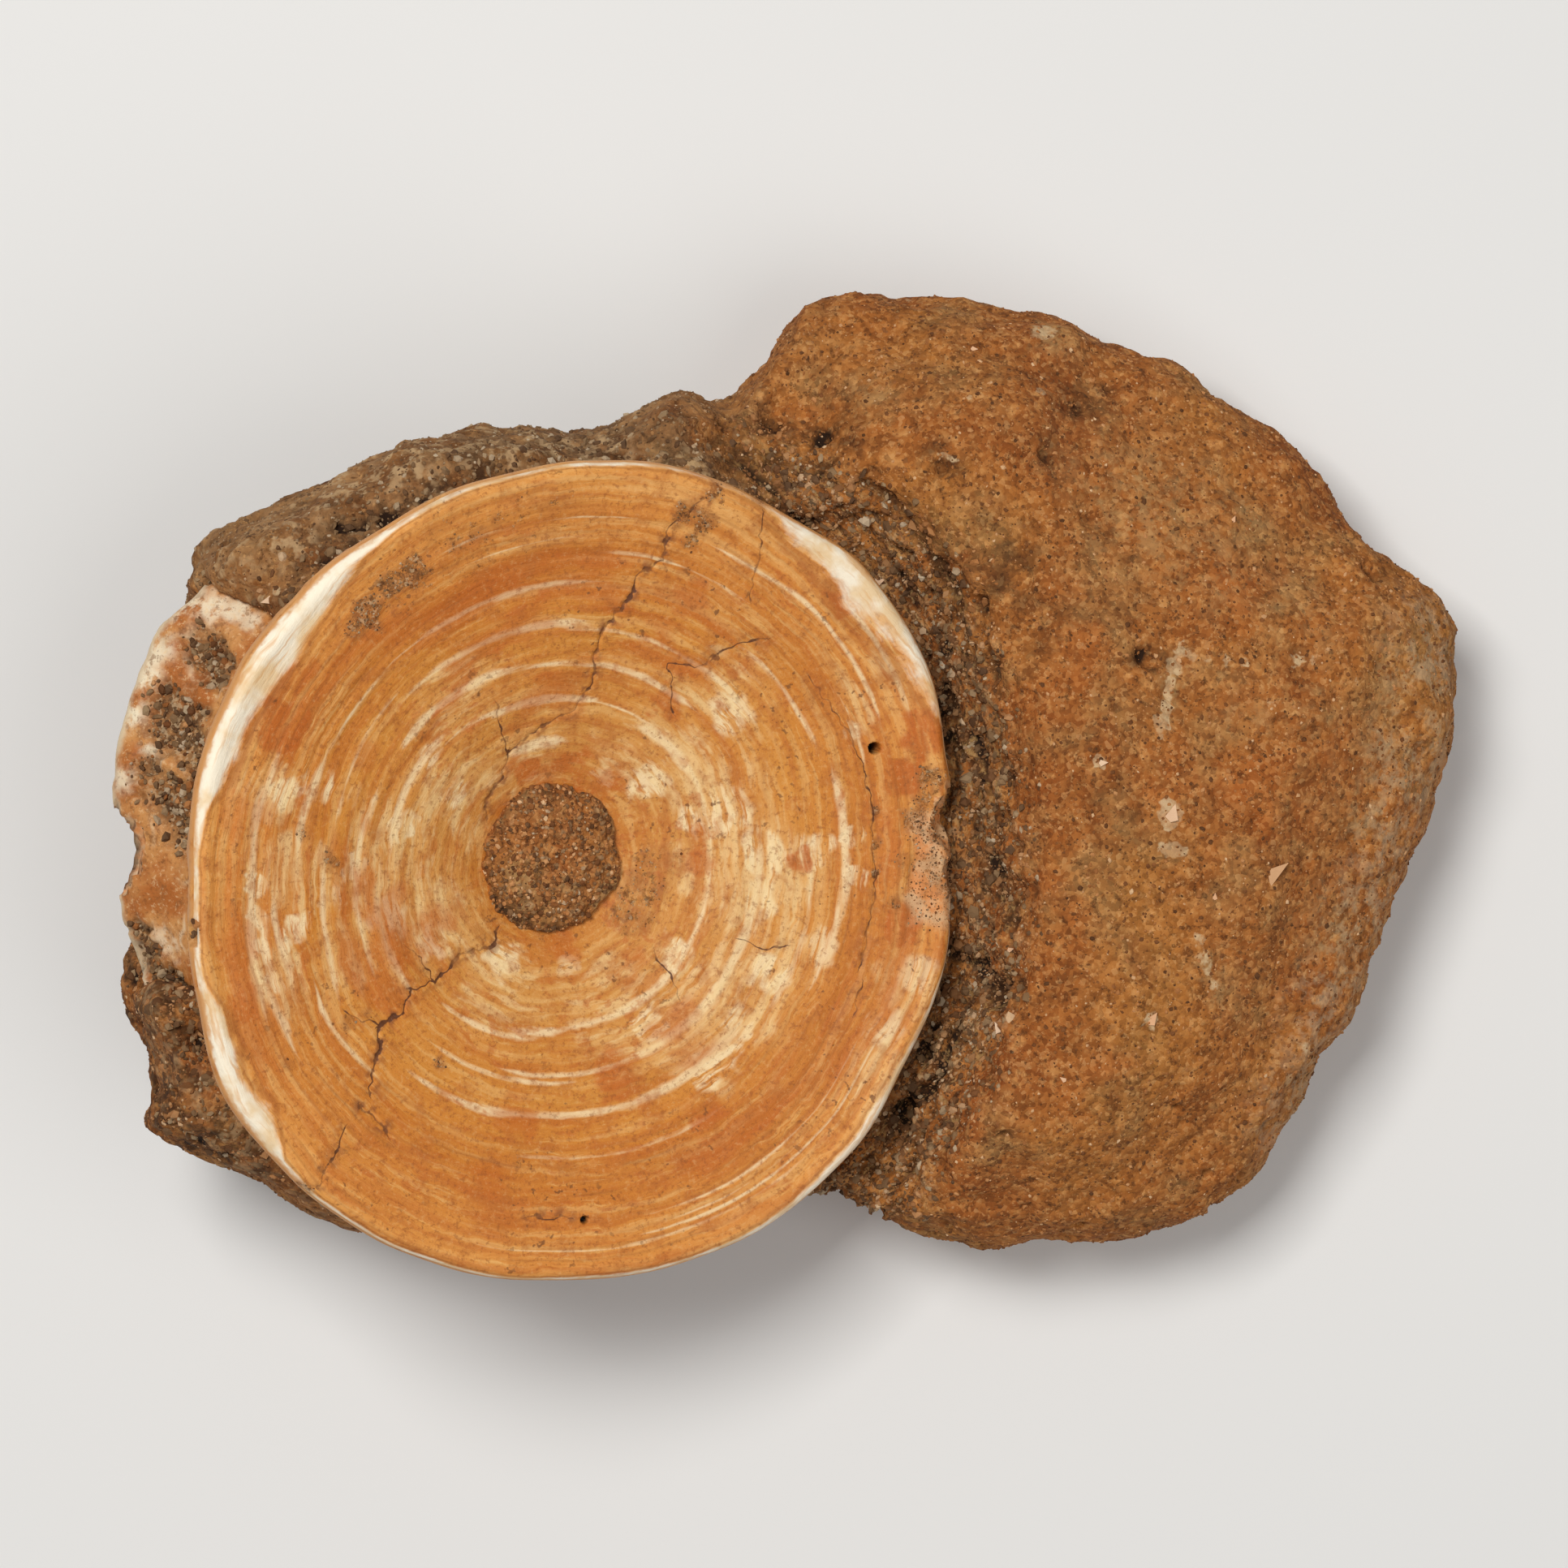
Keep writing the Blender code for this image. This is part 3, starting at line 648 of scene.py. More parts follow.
# %% Cracks and dirt on the face
distance, signed, widths = crack_distance(local[:, :2])
distance = np.where(front, distance, FAR)
signed = np.where(front, signed, FAR)
groove = 1.0 - soft_step(0.2 * widths, 0.5 * widths + 0.16, distance)
open_share = 0.35 + 0.65 * soft_step(-0.1, 0.35, rough(local, 1.3, 52.0))
lift -= np.where(front, (0.02 + 0.55 * widths) * groove * open_share, 0.0)
past_centre = (degrees + 180.0) % 360.0 - 180.0
torn = soft_step(-10.5, -8.0, past_centre) * soft_step(9.5, 7.5, past_centre)
torn *= soft_step(0.865, 0.90, ring + 0.035 * rough(local, 2.0, 53.0)) * soft_step(1.02, 0.99, ring)
torn = np.where(growth[:, 2] > -2.5, torn, 0.0)
local[:, 2] -= torn * (0.38 + 0.42 * rough(local, 1.1, 54.0))
lift += np.where(front, dirt * (0.06 + 0.14 * rough(local, 0.7, 51.0)), 0.0)
hole = np.linalg.norm(local[:, :2] - PINHOLE[:2], axis=1)
pit = np.linalg.norm(local[:, :2] - PIT[:2], axis=1)
lift -= np.where(front, 2.2 * (1.0 - soft_step(PINHOLE_RADIUS - 0.14, PINHOLE_RADIUS, hole)), 0.0)
lift -= np.where(front, 0.8 * (1.0 - soft_step(PIT_RADIUS - 0.2, PIT_RADIUS, pit)), 0.0)
local[:, 2] += lift
# Masks of the pinhole and the pit. There the bone is painted near-black, as painted shadow.
holes = np.where(front, soft_step(PINHOLE_RADIUS + 0.02, PINHOLE_RADIUS - 0.12, hole), 0.0)
holes = np.maximum(holes, np.where(front, soft_step(PIT_RADIUS, PIT_RADIUS - 0.15, pit), 0.0))
print("deepest mark in the face:", round(float(lift.min()), 2), "mm")

# %% Broken rims and the wall's pits
broken = torn.copy()
for index, (side, chip_angle, out, radius) in enumerate(CHIPS):
    height = 0.2 if side == "front" else 1.0 - LENGTH
    turned = math.radians(chip_angle)
    centre = np.array((out * math.cos(turned), out * math.sin(turned), height))
    local, bitten = bite(local, centre, radius, 11.0 + index)
    broken = np.maximum(broken, bitten)

outward = np.column_stack([heading, np.zeros(len(local))])
grit = spot_mask(local, [(x, y, radius, 1.0) for x, y, radius, _ in WALL_PITS])
scatter = rough(local * (1.0, 1.0, 1.4), 3.6, 61.0)
hidden = 1.0 - soft_step(135.0, 150.0, angle_of(local) % 360.0) * (
    1.0 - soft_step(190.0, 205.0, angle_of(local) % 360.0))
grit = np.maximum(grit, soft_step(0.28, 0.5, scatter) * hidden * soft_step(-4.0, -7.0, local[:, 2]))
grit = np.where(wall, grit, 0.0)
wall_skin = 0.2 * rough(local, 1.3, 62.0) + 0.34 * rough(local, 3.2, 63.0)
wall_lift = np.where(wall, wall_skin * soft_step(-1.5, -4.0, local[:, 2]), 0.0)
wall_lift -= grit * (1.1 + 0.6 * rough(local, 1.2, 64.0))
local += outward * wall_lift[:, None]
move_points(bone, to_frame(local))
print("points in gritty pits:", int((grit > 0.5).sum()), "and on broken bone:", int((broken > 0.5).sum()))

# %% Pale arcs: angle and ring where each starts and ends, half its width, and its strength
PALE_ARCS = [
    (26, 0.915, 40, 0.910, 0.006, 0.8), (30, 0.845, 62, 0.845, 0.006, 0.9),
    (26, 0.680, 48, 0.672, 0.006, 0.8), (92, 0.700, 122, 0.703, 0.007, 0.9),
    (122, 0.703, 150, 0.690, 0.005, 0.5), (38, 0.578, 92, 0.582, 0.007, 0.7),
    (92, 0.600, 124, 0.605, 0.008, 1.0), (124, 0.605, 138, 0.600, 0.006, 0.6),
    (54, 0.490, 80, 0.495, 0.008, 0.9), (84, 0.490, 112, 0.508, 0.006, 0.7),
    (112, 0.515, 140, 0.525, 0.009, 1.0), (84, 0.405, 114, 0.415, 0.009, 1.0),
    (114, 0.420, 132, 0.435, 0.006, 0.7), (138, 0.455, 170, 0.452, 0.010, 0.9),
    (4, 0.392, 40, 0.391, 0.007, 0.8), (36, 0.390, 57, 0.388, 0.011, 1.0),
    (56, 0.400, 84, 0.402, 0.005, 0.6), (92, 0.295, 112, 0.297, 0.013, 0.9),
    (233, 0.625, 252, 0.620, 0.007, 0.9), (252, 0.612, 286, 0.602, 0.007, 0.9),
    (286, 0.605, 316, 0.595, 0.010, 1.0), (234, 0.537, 268, 0.530, 0.006, 0.8),
    (256, 0.514, 288, 0.508, 0.006, 0.9), (294, 0.505, 322, 0.503, 0.010, 1.0),
    (322, 0.505, 362, 0.508, 0.011, 0.8), (230, 0.447, 256, 0.433, 0.007, 0.8),
    (256, 0.420, 267, 0.411, 0.009, 1.0), (266, 0.408, 279, 0.402, 0.005, 0.7),
    (276, 0.400, 313, 0.398, 0.009, 1.0), (313, 0.396, 364, 0.390, 0.007, 0.7),
    (262, 0.705, 302, 0.706, 0.006, 0.6), (-2, 0.725, 14, 0.710, 0.010, 0.9),
    (338, 0.700, 358, 0.715, 0.009, 0.6), (328, 0.640, 362, 0.635, 0.008, 0.6),
    (280, 0.920, 330, 0.922, 0.004, 0.6), (284, 0.902, 330, 0.900, 0.004, 0.7),
    (290, 0.884, 326, 0.882, 0.003, 0.6), (284, 0.864, 326, 0.862, 0.004, 0.7),
    (236, 0.930, 280, 0.925, 0.003, 0.5), (168, 0.840, 196, 0.845, 0.012, 0.9),
    (160, 0.820, 170, 0.835, 0.010, 0.9), (194, 0.840, 205, 0.805, 0.011, 0.9),
    (160, 0.700, 172, 0.715, 0.012, 0.8), (186, 0.780, 194, 0.760, 0.012, 0.8),
    (180, 0.640, 202, 0.650, 0.009, 0.7), (160, 0.530, 178, 0.550, 0.009, 0.8),
    (178, 0.550, 202, 0.545, 0.008, 0.8), (190, 0.490, 214, 0.485, 0.012, 0.6),
    (136, 0.630, 166, 0.615, 0.006, 0.7), (206, 0.700, 222, 0.690, 0.008, 0.5),
    (60, 0.770, 84, 0.775, 0.005, 0.5), (84, 0.860, 112, 0.868, 0.004, 0.5),
    (92, 0.815, 120, 0.810, 0.004, 0.5), (20, 0.790, 34, 0.775, 0.005, 0.6),
]
FADE_DEGREES = 7.0


def arc_gap():
    """How many half widths each point lies from the nearest pale arc."""
    least = np.full(len(ring), 9.0)
    for start, ring_0, end, ring_1, half_width, strength in PALE_ARCS:
        past = (degrees - start) % 360.0
        span = end - start
        past = np.where(past > span + 0.5 * (360.0 - span), past - 360.0, past)
        middle = ring_0 + (ring_1 - ring_0) * np.clip(past / span, 0.0, 1.0)
        over = np.maximum(0.0, np.maximum(-past, past - span)) / FADE_DEGREES
        gap = np.abs(ring - middle) / (1.35 * half_width) + over + 0.9 * (1.0 - strength)
        least = np.minimum(least, gap)
    return np.where(front, least, 9.0)


arc_values = arc_gap()
print("points on pale arcs:", int((arc_values < 1.0).sum()))

# %% Masks for the bone's material
CREAM_SPOTS = [
    (337, 1165, 2.2, 1.0), (345, 1200, 2.0, 0.9), (315, 1090, 1.3, 0.9), (316, 1130, 1.3, 0.9),
    (437, 1070, 1.6, 0.8), (350, 975, 1.8, 0.8), (390, 965, 2.0, 0.7), (495, 1018, 1.8, 0.9),
    (365, 1140, 1.6, 0.6), (480, 1130, 2.6, 0.6), (530, 1160, 2.4, 0.6), (900, 1000, 3.0, 0.7),
    (940, 1050, 3.2, 0.8), (1000, 1050, 2.6, 0.7), (930, 1110, 2.8, 0.8), (900, 880, 2.6, 0.6),
    (800, 960, 2.4, 0.6), (860, 1010, 2.4, 0.6), (950, 1200, 2.6, 0.7), (880, 1300, 2.6, 0.7),
    (840, 1180, 2.2, 0.7), (800, 1260, 2.0, 0.7), (1010, 1170, 2.4, 0.5), (740, 960, 1.8, 0.4),
    (620, 1180, 2.4, 0.6), (560, 980, 1.8, 0.6), (530, 930, 1.6, 0.5), (410, 1110, 1.6, 0.5),
    (870, 1330, 1.8, 0.6), (910, 1260, 2.2, 0.6), (1050, 900, 1.2, 0.6), (1048, 1030, 1.4, 0.9),
    (1055, 1080, 1.4, 0.9), (700, 1190, 1.8, 0.4), (1130, 1200, 2.6, 0.5), (1090, 1270, 2.6, 0.5),
]
WASH_SPOTS = [
    (470, 1060, 7.0, 0.8), (540, 1130, 5.0, 0.9), (360, 1080, 5.0, 0.8), (560, 980, 5.0, 0.7),
    (430, 1180, 4.0, 0.6), (880, 950, 6.0, 0.9), (930, 1080, 7.0, 1.0), (870, 1240, 7.0, 0.9),
    (760, 1240, 6.0, 0.7), (800, 930, 5.0, 0.8), (960, 1180, 5.0, 0.9), (1130, 1220, 4.0, 0.8),
    (1080, 1320, 4.0, 0.6), (640, 960, 4.0, 0.5), (330, 980, 3.5, 0.8), (340, 1210, 4.0, 0.9),
    (620, 1220, 5.0, 0.6), (560, 860, 5.0, 0.4), (900, 860, 5.0, 0.6), (1080, 850, 4.0, 0.7),
]
STAIN_SPOTS = [
    (350, 900, 3.4, 1.0), (380, 840, 2.4, 0.6), (296, 1010, 3.6, 0.4), (300, 1240, 2.6, 0.6),
    (1140, 900, 2.8, 0.9), (1110, 960, 2.4, 0.8), (1110, 1140, 2.6, 0.9), (760, 1330, 3.0, 0.6),
    (880, 1390, 3.2, 0.6), (640, 1370, 3.0, 0.5), (985, 1060, 1.6, 0.8), (860, 1060, 2.0, 0.5),
    (700, 950, 2.6, 0.7), (650, 950, 2.0, 0.6), (850, 740, 2.6, 0.5), (820, 870, 2.2, 0.5),
    (1040, 740, 2.0, 0.8), (700, 860, 2.6, 0.4), (600, 1450, 3.0, 0.4), (450, 930, 2.4, 0.4),
]

band_edge = (1.0 - ring) * RIM_RADIUS - band_width
band_down = 2.2 * (-growth[:, 2] - 0.75)
band_edge = np.where(growth[:, 2] < -face_depth(np.minimum(ring, 1.0)) - 0.3, band_down, band_edge)
band_edge = np.where((ring > 0.84) & (growth[:, 2] > -6.0), band_edge, 9.0)
band_edge = band_edge / np.clip(band_width / 1.5, 0.25, 1.0)
band_edge = np.where(degrees < 85.0, 0.5 * band_edge + 0.3, band_edge)
cream = spot_mask(local, CREAM_SPOTS)
stain = spot_mask(local, STAIN_SPOTS)
wash = spot_mask(local, WASH_SPOTS)
pale_wall = np.where(wall, spot_mask(local, PALE_WALL), 0.0)
kept = {
    "crack": np.column_stack([signed, widths, np.minimum(distance, 9.0)]),
    "marks": np.column_stack([dirt, cream, stain]),
    "edges": np.column_stack([band_edge, wall * 1.0, broken]),
    "holes": holes, "grit": grit, "pale_wall": pale_wall, "wash": wash, "grown": grown,
    "arc": arc_values,
}
for name, values in kept.items():
    keep_values(bone, name, values)
pick_only(bone)
bpy.ops.object.shade_smooth()
print("vertebra:", triangles_of(bone), "triangles")

# %% [markdown]
# ## The stone
#
# The stone is a lump of cemented sand. Its main form, ledges and hollows are in the CAD solid,
# so a copy of that solid is merged and remeshed into small even squares. Several sizes of noise
# then roughen it along its normals: clods, crumbs and pits. The crevice beside the bone is
# rougher, with hollows that run along the rim. Its underside stays flat, because it rests there.

# %% Copy and remesh the CAD solid
STONE_VOXEL = 0.5
STONE_TRIANGLES = 196000


def copy_of_node(name, made_name):
    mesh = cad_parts[name].data.copy()
    mesh.materials.clear()
    copy = bpy.data.objects.new(made_name, mesh)
    bpy.context.scene.collection.objects.link(copy)
    mesh.name = made_name
    pick_only(copy)
    bpy.ops.object.mode_set(mode="EDIT")
    bpy.ops.mesh.select_all(action="SELECT")
    bpy.ops.mesh.remove_doubles(threshold=0.000002)
    bpy.ops.mesh.normals_make_consistent(inside=False)
    bpy.ops.object.mode_set(mode="OBJECT")
    return copy


stone = copy_of_node("stone", "sandy_stone")
apply_modifier(stone, "Even squares", "REMESH", mode="VOXEL", voxel_size=STONE_VOXEL * MM)
print("remeshed stone:", triangles_of(stone), "triangles")


# %% Thin out what nobody sees
def rim_distance(points):
    """How far points lie outside the front rim, seen from above."""
    across = (points[:, 0] - CENTRE[0]) / math.cos(TILT)
    along = points[:, 1] - CENTRE[1]
    angle = np.degrees(np.arctan2(along, across))
    return np.hypot(across, along) - around(RIM_RADII, angle)


def coarser_where(piece, hidden_share, target):
    """Spends a piece's triangles on what shows: thins it by a vertex group."""
    group = piece.vertex_groups.new(name="hidden")
    for level in (0.25, 0.5, 0.75, 1.0):
        rows = np.flatnonzero((hidden_share > level - 0.25) & (hidden_share <= level))
        group.add(rows.tolist(), level, "REPLACE")
    have = triangles_of(piece)
    if have > target:
        apply_modifier(piece, "Thin out", "DECIMATE", ratio=target / have,
                       vertex_group="hidden", vertex_group_factor=2.0)
    piece.vertex_groups.clear()


points = points_of(stone)
in_bone = to_bone(points)
under_bone = (rim_distance(points) < -1.5) & (in_bone[:, 2] > -LENGTH - 1.0) & (in_bone[:, 2] < 1.0)
low = soft_step(0.9, 0.2, points[:, 2])
coarser_where(stone, np.maximum(under_bone * 1.0, low), STONE_TRIANGLES)
print("stone after thinning:", triangles_of(stone), "triangles")

# %% Roughen the surface
STONE_PITS = [
    (1410, 810, 1.5, 1.3), (1160, 575, 1.4, 1.2), (1449, 1366, 0.8, 0.8), (1487, 1447, 0.8, 0.8),
    (1690, 705, 1.3, 1.0), (430, 640, 2.0, 1.1), (895, 520, 1.2, 1.4), (950, 520, 1.6, 1.4),
    (1010, 540, 1.6, 1.2), (1160, 800, 1.5, 1.6), (1205, 745, 1.6, 1.2), (1290, 560, 1.2, 0.9),
    (1240, 1400, 1.0, 0.8), (1550, 1010, 0.7, 0.6), (1340, 640, 1.0, 0.8), (700, 560, 1.4, 0.9),
    (1110, 1370, 1.6, 1.3), (1140, 1300, 1.5, 1.4), (205, 1240, 1.6, 1.2), (240, 1290, 1.8, 1.4),
    (215, 1350, 1.2, 1.0), (1330, 500, 1.3, 0.9), (1075, 580, 1.1, 0.8), (1155, 700, 1.0, 0.7),
    (1443, 453, 1.0, 0.4), (1420, 462, 1.1, 0.4), (1395, 472, 1.0, 0.35), (1370, 482, 1.1, 0.45),
    (1345, 492, 1.1, 0.4), (1318, 501, 1.2, 0.45), (480, 640, 1.4, 1.0), (455, 680, 1.2, 0.9),
    (520, 610, 1.2, 0.9), (400, 690, 1.2, 0.8), (560, 590, 1.0, 0.7), (610, 575, 1.0, 0.6),
]

STONE_TRIMS = [(226, 712, 4.5, 2.2), (221, 732, 5.0, 3.2), (215, 752, 5.0, 3.6)]

points = points_of(stone)
normals = normals_of(stone)
away = rim_distance(points)
crevice = soft_step(10.0, 4.5, away) * soft_step(-12.0, 2.0, points[:, 0]) * soft_step(-3.0, -0.5, away)
crevice *= soft_step(8.0, 16.0, points[:, 2])
stray = 7.0 * rough(points, 9.0, 90.0) + 3.0 * rough(points, 2.5, 91.0)
grey_band = soft_step(2.0, -14.0, points[:, 0] + stray) * soft_step(10.0, 20.0, points[:, 1] + stray)
lump = soft_step(-34.0, -54.0, points[:, 0] + 1.6 * stray) * np.maximum(
    soft_step(-6.0, -14.0, points[:, 1] + stray), 0.8 * soft_step(20.0, 12.0, points[:, 2] + stray))
crumbly = np.maximum(np.maximum(grey_band, lump), 0.8 * crevice)
relief = 0.48 * rough(points, 4.6, 71.0) + 0.32 * rough(points, 2.1, 72.0)
relief += 0.2 * rough(points, 1.05, 73.0) * (1.0 + 1.4 * crevice)
relief += 0.06 * rough(points, 0.62, 74.0)
hollows = soft_step(0.38, 0.70, rough(points, 2.6, 75.0))
relief -= 0.5 * hollows
relief += crumbly * (0.26 * rough(points, 1.7, 78.0) + 0.18 * rough(points, 0.9, 79.0))
relief -= crumbly * 0.8 * soft_step(0.22, 0.55, rough(points, 1.9, 80.0))
rim_angle = np.arctan2(points[:, 1] - CENTRE[1], (points[:, 0] - CENTRE[0]) / math.cos(TILT))
furrows = np.column_stack([rim_angle * RIM_RADIUS / 3.2, away / 1.1, points[:, 2] / 4.0])
relief += crevice * 0.8 * rough(furrows, 1.0, 76.0)
relief -= crevice * 1.2 * soft_step(0.12, 0.45, rough(furrows, 1.5, 77.0))
print("relief in mm:", round(float(relief.min()), 2), "to", round(float(relief.max()), 2))

# %% Pits in their photographed places, a flat underside and a snug bed
for x, y, radius, depth in STONE_PITS:
    place = spot_on(stone, x, y)
    if place is None:
        continue
    gap = np.linalg.norm(points - place, axis=1)
    near = np.flatnonzero(gap < 2.0 * radius)
    ragged = gap[near] * (1.0 + 0.5 * rough(points[near], 0.6 * radius, x % 13))
    relief[near] -= depth * (1.0 - soft_step(0.2 * radius, radius, ragged))

trim = np.zeros(len(points))
for x, y, radius, depth in STONE_TRIMS:
    gap = np.linalg.norm(points - spot_on(stone, x, y), axis=1)
    trim = np.maximum(trim, depth * soft_step(radius, 0.3 * radius, gap))
in_bone = to_bone(points)
beside = np.abs(np.hypot(in_bone[:, 0], in_bone[:, 1]) - RIM_RADIUS)
bed = soft_step(2.4, 0.8, beside) * soft_step(-LENGTH, -LENGTH + 2.0, in_bone[:, 2])
bed *= soft_step(1.5, 0.0, in_bone[:, 2])
relief = relief * (1.0 - 0.6 * bed) + 0.35 * bed
relief *= soft_step(0.15, 1.6, points[:, 2])
shaped = points + normals * (relief - trim)[:, None]
shaped[:, 2] = np.maximum(shaped[:, 2], 0.0)
move_points(stone, shaped)
print("stone in mm:", (shaped.max(axis=0) - shaped.min(axis=0)).round(1).tolist())

# %% Masks for the stone's material
WORN_LINE = [(1765, 800), (1750, 942), (1722, 1040), (1690, 1130), (1640, 1250), (1591, 1356)]

PALE_PATCHES = [
    (1400, 620, 9.0, 0.8), (1480, 690, 7.0, 0.7), (1440, 850, 2.0, 1.2), (1434, 885, 1.5, 1.2),
    (1456, 815, 1.6, 1.2), (1500, 822, 1.5, 0.9), (1540, 890, 3.0, 0.7), (1295, 412, 3.0, 1.0),
    (320, 733, 2.2, 1.0), (1530, 640, 5.0, 0.6), (1620, 880, 4.0, 0.6), (1680, 1000, 4.0, 0.8),
    (1640, 1150, 4.0, 0.8), (1490, 1190, 2.4, 0.9), (1505, 1230, 2.2, 0.9), (1075, 480, 3.0, 0.7),
    (1210, 860, 1.8, 0.9), (1230, 900, 1.6, 0.9), (1200, 1040, 1.8, 0.9), (1205, 1110, 1.6, 0.9),
    (1700, 950, 7.0, 0.6), (1740, 860, 6.0, 0.7), (1650, 1150, 7.0, 0.6), (1600, 760, 6.0, 0.5),
    (1084, 716, 1.6, 1.0), (840, 580, 3.0, 0.7), (800, 560, 2.5, 0.6), (1760, 860, 3.0, 0.7),
]
# Darker patches. Partly painted shade in the pits, the crevice beside the rim and the lump's hollows;
# partly darker tone of the stone.
SHADE_AND_DARK_PATCHES = [
    (1240, 700, 6.0, 0.7), (1200, 740, 4.0, 0.8), (1180, 800, 4.0, 1.0), (1410, 810, 2.6, 1.0),
    (1160, 570, 3.0, 0.7), (1330, 500, 5.0, 0.5), (1020, 540, 5.0, 0.8), (930, 520, 3.0, 1.0),
    (900, 560, 4.0, 0.8), (1290, 560, 3.0, 0.5), (1700, 700, 3.0, 0.6), (1110, 1380, 5.0, 0.9),
    (1160, 1290, 4.0, 0.9), (990, 620, 4.0, 0.5), (1300, 760, 5.0, 0.4), (430, 650, 4.0, 0.6),
    (480, 620, 3.0, 0.7), (700, 560, 3.0, 0.6), (210, 1250, 5.0, 1.0), (240, 1300, 4.0, 1.0),
    (215, 1200, 3.0, 0.7), (205, 1380, 3.0, 0.7), (260, 1400, 3.0, 0.5), (1190, 900, 3.0, 0.8),
    (1215, 980, 3.0, 0.8), (1220, 1080, 3.0, 0.7), (1200, 1180, 3.0, 0.8), (1370, 1000, 4.0, 0.3),
]


def stone_patches(spots):
    """Soft, ragged patches round the pixels' places on the stone."""
    mask = np.zeros(len(points))
    for x, y, radius, strength in spots:
        place = spot_on(stone, x, y)
        if place is None:
            continue
        add_spot(mask, points, place, radius, strength, 0.5, x % 11, (0.3, 1.2))
    return mask


PALE_CHIPS = [
    (1453, 803, 1.0, 1.0), (1446, 820, 1.1, 1.1), (1443, 838, 1.0, 1.0), (1440, 856, 0.9, 1.1),
    (1436, 872, 1.0, 1.2), (1431, 890, 1.1, 1.2), (1429, 904, 0.8, 1.0), (1470, 808, 0.8, 0.9),
    (1490, 812, 0.7, 0.9), (1512, 815, 0.7, 0.8), (1536, 818, 0.8, 1.0), (1600, 816, 1.0, 1.0),
    (1616, 813, 0.8, 0.9), (1443, 1000, 1.5, 1.2), (1440, 1012, 1.2, 1.1), (1436, 1046, 0.9, 1.1),
    (1447, 1048, 1.0, 1.2), (1458, 1049, 0.8, 1.1), (1418, 1257, 1.0, 1.2), (1230, 1265, 0.9, 1.2),
    (1234, 1274, 0.7, 1.0), (1354, 937, 0.9, 1.2), (1287, 408, 1.4, 1.0), (1277, 415, 1.0, 0.8),
    (1283, 482, 0.8, 1.1), (1478, 1160, 1.0, 0.8), (1483, 1178, 1.1, 0.9), (1490, 1196, 1.0, 0.8),
    (1497, 1212, 0.9, 0.8), (1074, 724, 1.2, 1.2), (1085, 716, 1.0, 1.1), (1567, 868, 1.0, 0.8),
    (1545, 880, 0.8, 0.7), (1672, 840, 0.8, 0.7), (1160, 560, 0.8, 0.8), (1172, 568, 0.7, 0.8),
    (1120, 370, 0.7, 0.7), (1196, 490, 0.6, 0.8), (323, 738, 0.9, 0.9), (340, 730, 0.7, 0.8),
    (1290, 1100, 0.6, 0.7), (1340, 1180, 0.5, 0.7), (1700, 900, 0.7, 0.6), (1655, 1110, 0.9, 0.7),
    (1610, 1290, 1.2, 0.7), (1590, 1330, 1.2, 0.8), (800, 571, 0.9, 0.8), (1015, 590, 0.6, 0.7),
]

worn = np.zeros(len(points))
for x, y in WORN_LINE:
    place = spot_on(stone, x, y)
    if place is not None:
        worn = np.maximum(worn, 1.0 - soft_step(2.0, 9.0, np.linalg.norm(points - place, axis=1)))
keep_values(stone, "relief", relief)
# Painted shade: a dark strip on the grey band along the front rim, where the stone lies lower than the
# rim.
shade_beside_rim = grey_band * soft_step(6.5, 1.5, away) * 0.9
# The second tone darkens the colour. It is painted shade by the rim and in the patches at pits and the
# crevice, and darker tone in the other patches and on the low lump.
shade_and_dark_tone = np.maximum(np.maximum(stone_patches(SHADE_AND_DARK_PATCHES), 0.95 * lump), shade_beside_rim)
greyness = np.maximum(np.maximum(grey_band, 0.3 * lump), 0.5 * crevice)
keep_values(stone, "zones", np.column_stack([crevice, np.maximum(grey_band, 0.15 * lump), worn]))
crumbs_show = np.maximum(np.maximum(grey_band, 0.5 * lump), 0.8 * crevice)
keep_values(stone, "tones", np.column_stack([stone_patches(PALE_PATCHES), shade_and_dark_tone, crumbs_show]))
keep_values(stone, "chips", stone_patches(PALE_CHIPS))
keep_values(stone, "furrows", np.column_stack([rim_angle * RIM_RADIUS / 1.5, away / 0.55,
                                               points[:, 2] / 2.2]))
pick_only(stone)
bpy.ops.object.shade_smooth()
print("stone:", triangles_of(stone), "triangles")

# %% [markdown]
# ## The plug of sediment
#
# The middle of the hollow face is still full of brown grit, in a low lumpy heap with a ragged
# edge. It is a fine ball, squashed to a lens, whose edge is drawn in and out by noise and whose
# top is roughened. A flat disc with a bump would look painted on from the side.

# %% Squash a ball into the heap
PLUG_RADIUS = 7.1
PLUG_CROWN = 1.2
PLUG_GAP = 0.3

bpy.ops.object.select_all(action="DESELECT")
bpy.ops.mesh.primitive_ico_sphere_add(subdivisions=7, radius=1.0 * MM, location=(0.0, 0.0, 0.0))
plug = bpy.context.object
plug.name = "sediment_heap"
plug.data.name = "sediment_heap"
ball = points_of(plug)
edge_depth = float(face_depth(PLUG_RADIUS / RIM_RADIUS))
flat_share = np.hypot(ball[:, 0], ball[:, 1])
spread = flat_share ** 0.8 / np.maximum(flat_share, 0.001)
rim_noise = rough(ball * (1.0, 1.0, 0.0), 0.35, 81.0) + 0.6 * rough(ball * (1.0, 1.0, 0.0), 0.14, 82.0)
reach = (PLUG_RADIUS - 0.25 + 0.55 * rim_noise)[:, None]
heap = np.column_stack([ball[:, :2] * spread[:, None] * reach, np.zeros(len(ball))])
share = np.minimum(np.hypot(heap[:, 0], heap[:, 1]) / PLUG_RADIUS, 1.0)
crown = -edge_depth + PLUG_GAP + PLUG_CROWN * (1.0 - share ** 3) * 0.9
under = -face_depth(np.hypot(heap[:, 0], heap[:, 1]) / RIM_RADIUS) - 0.15
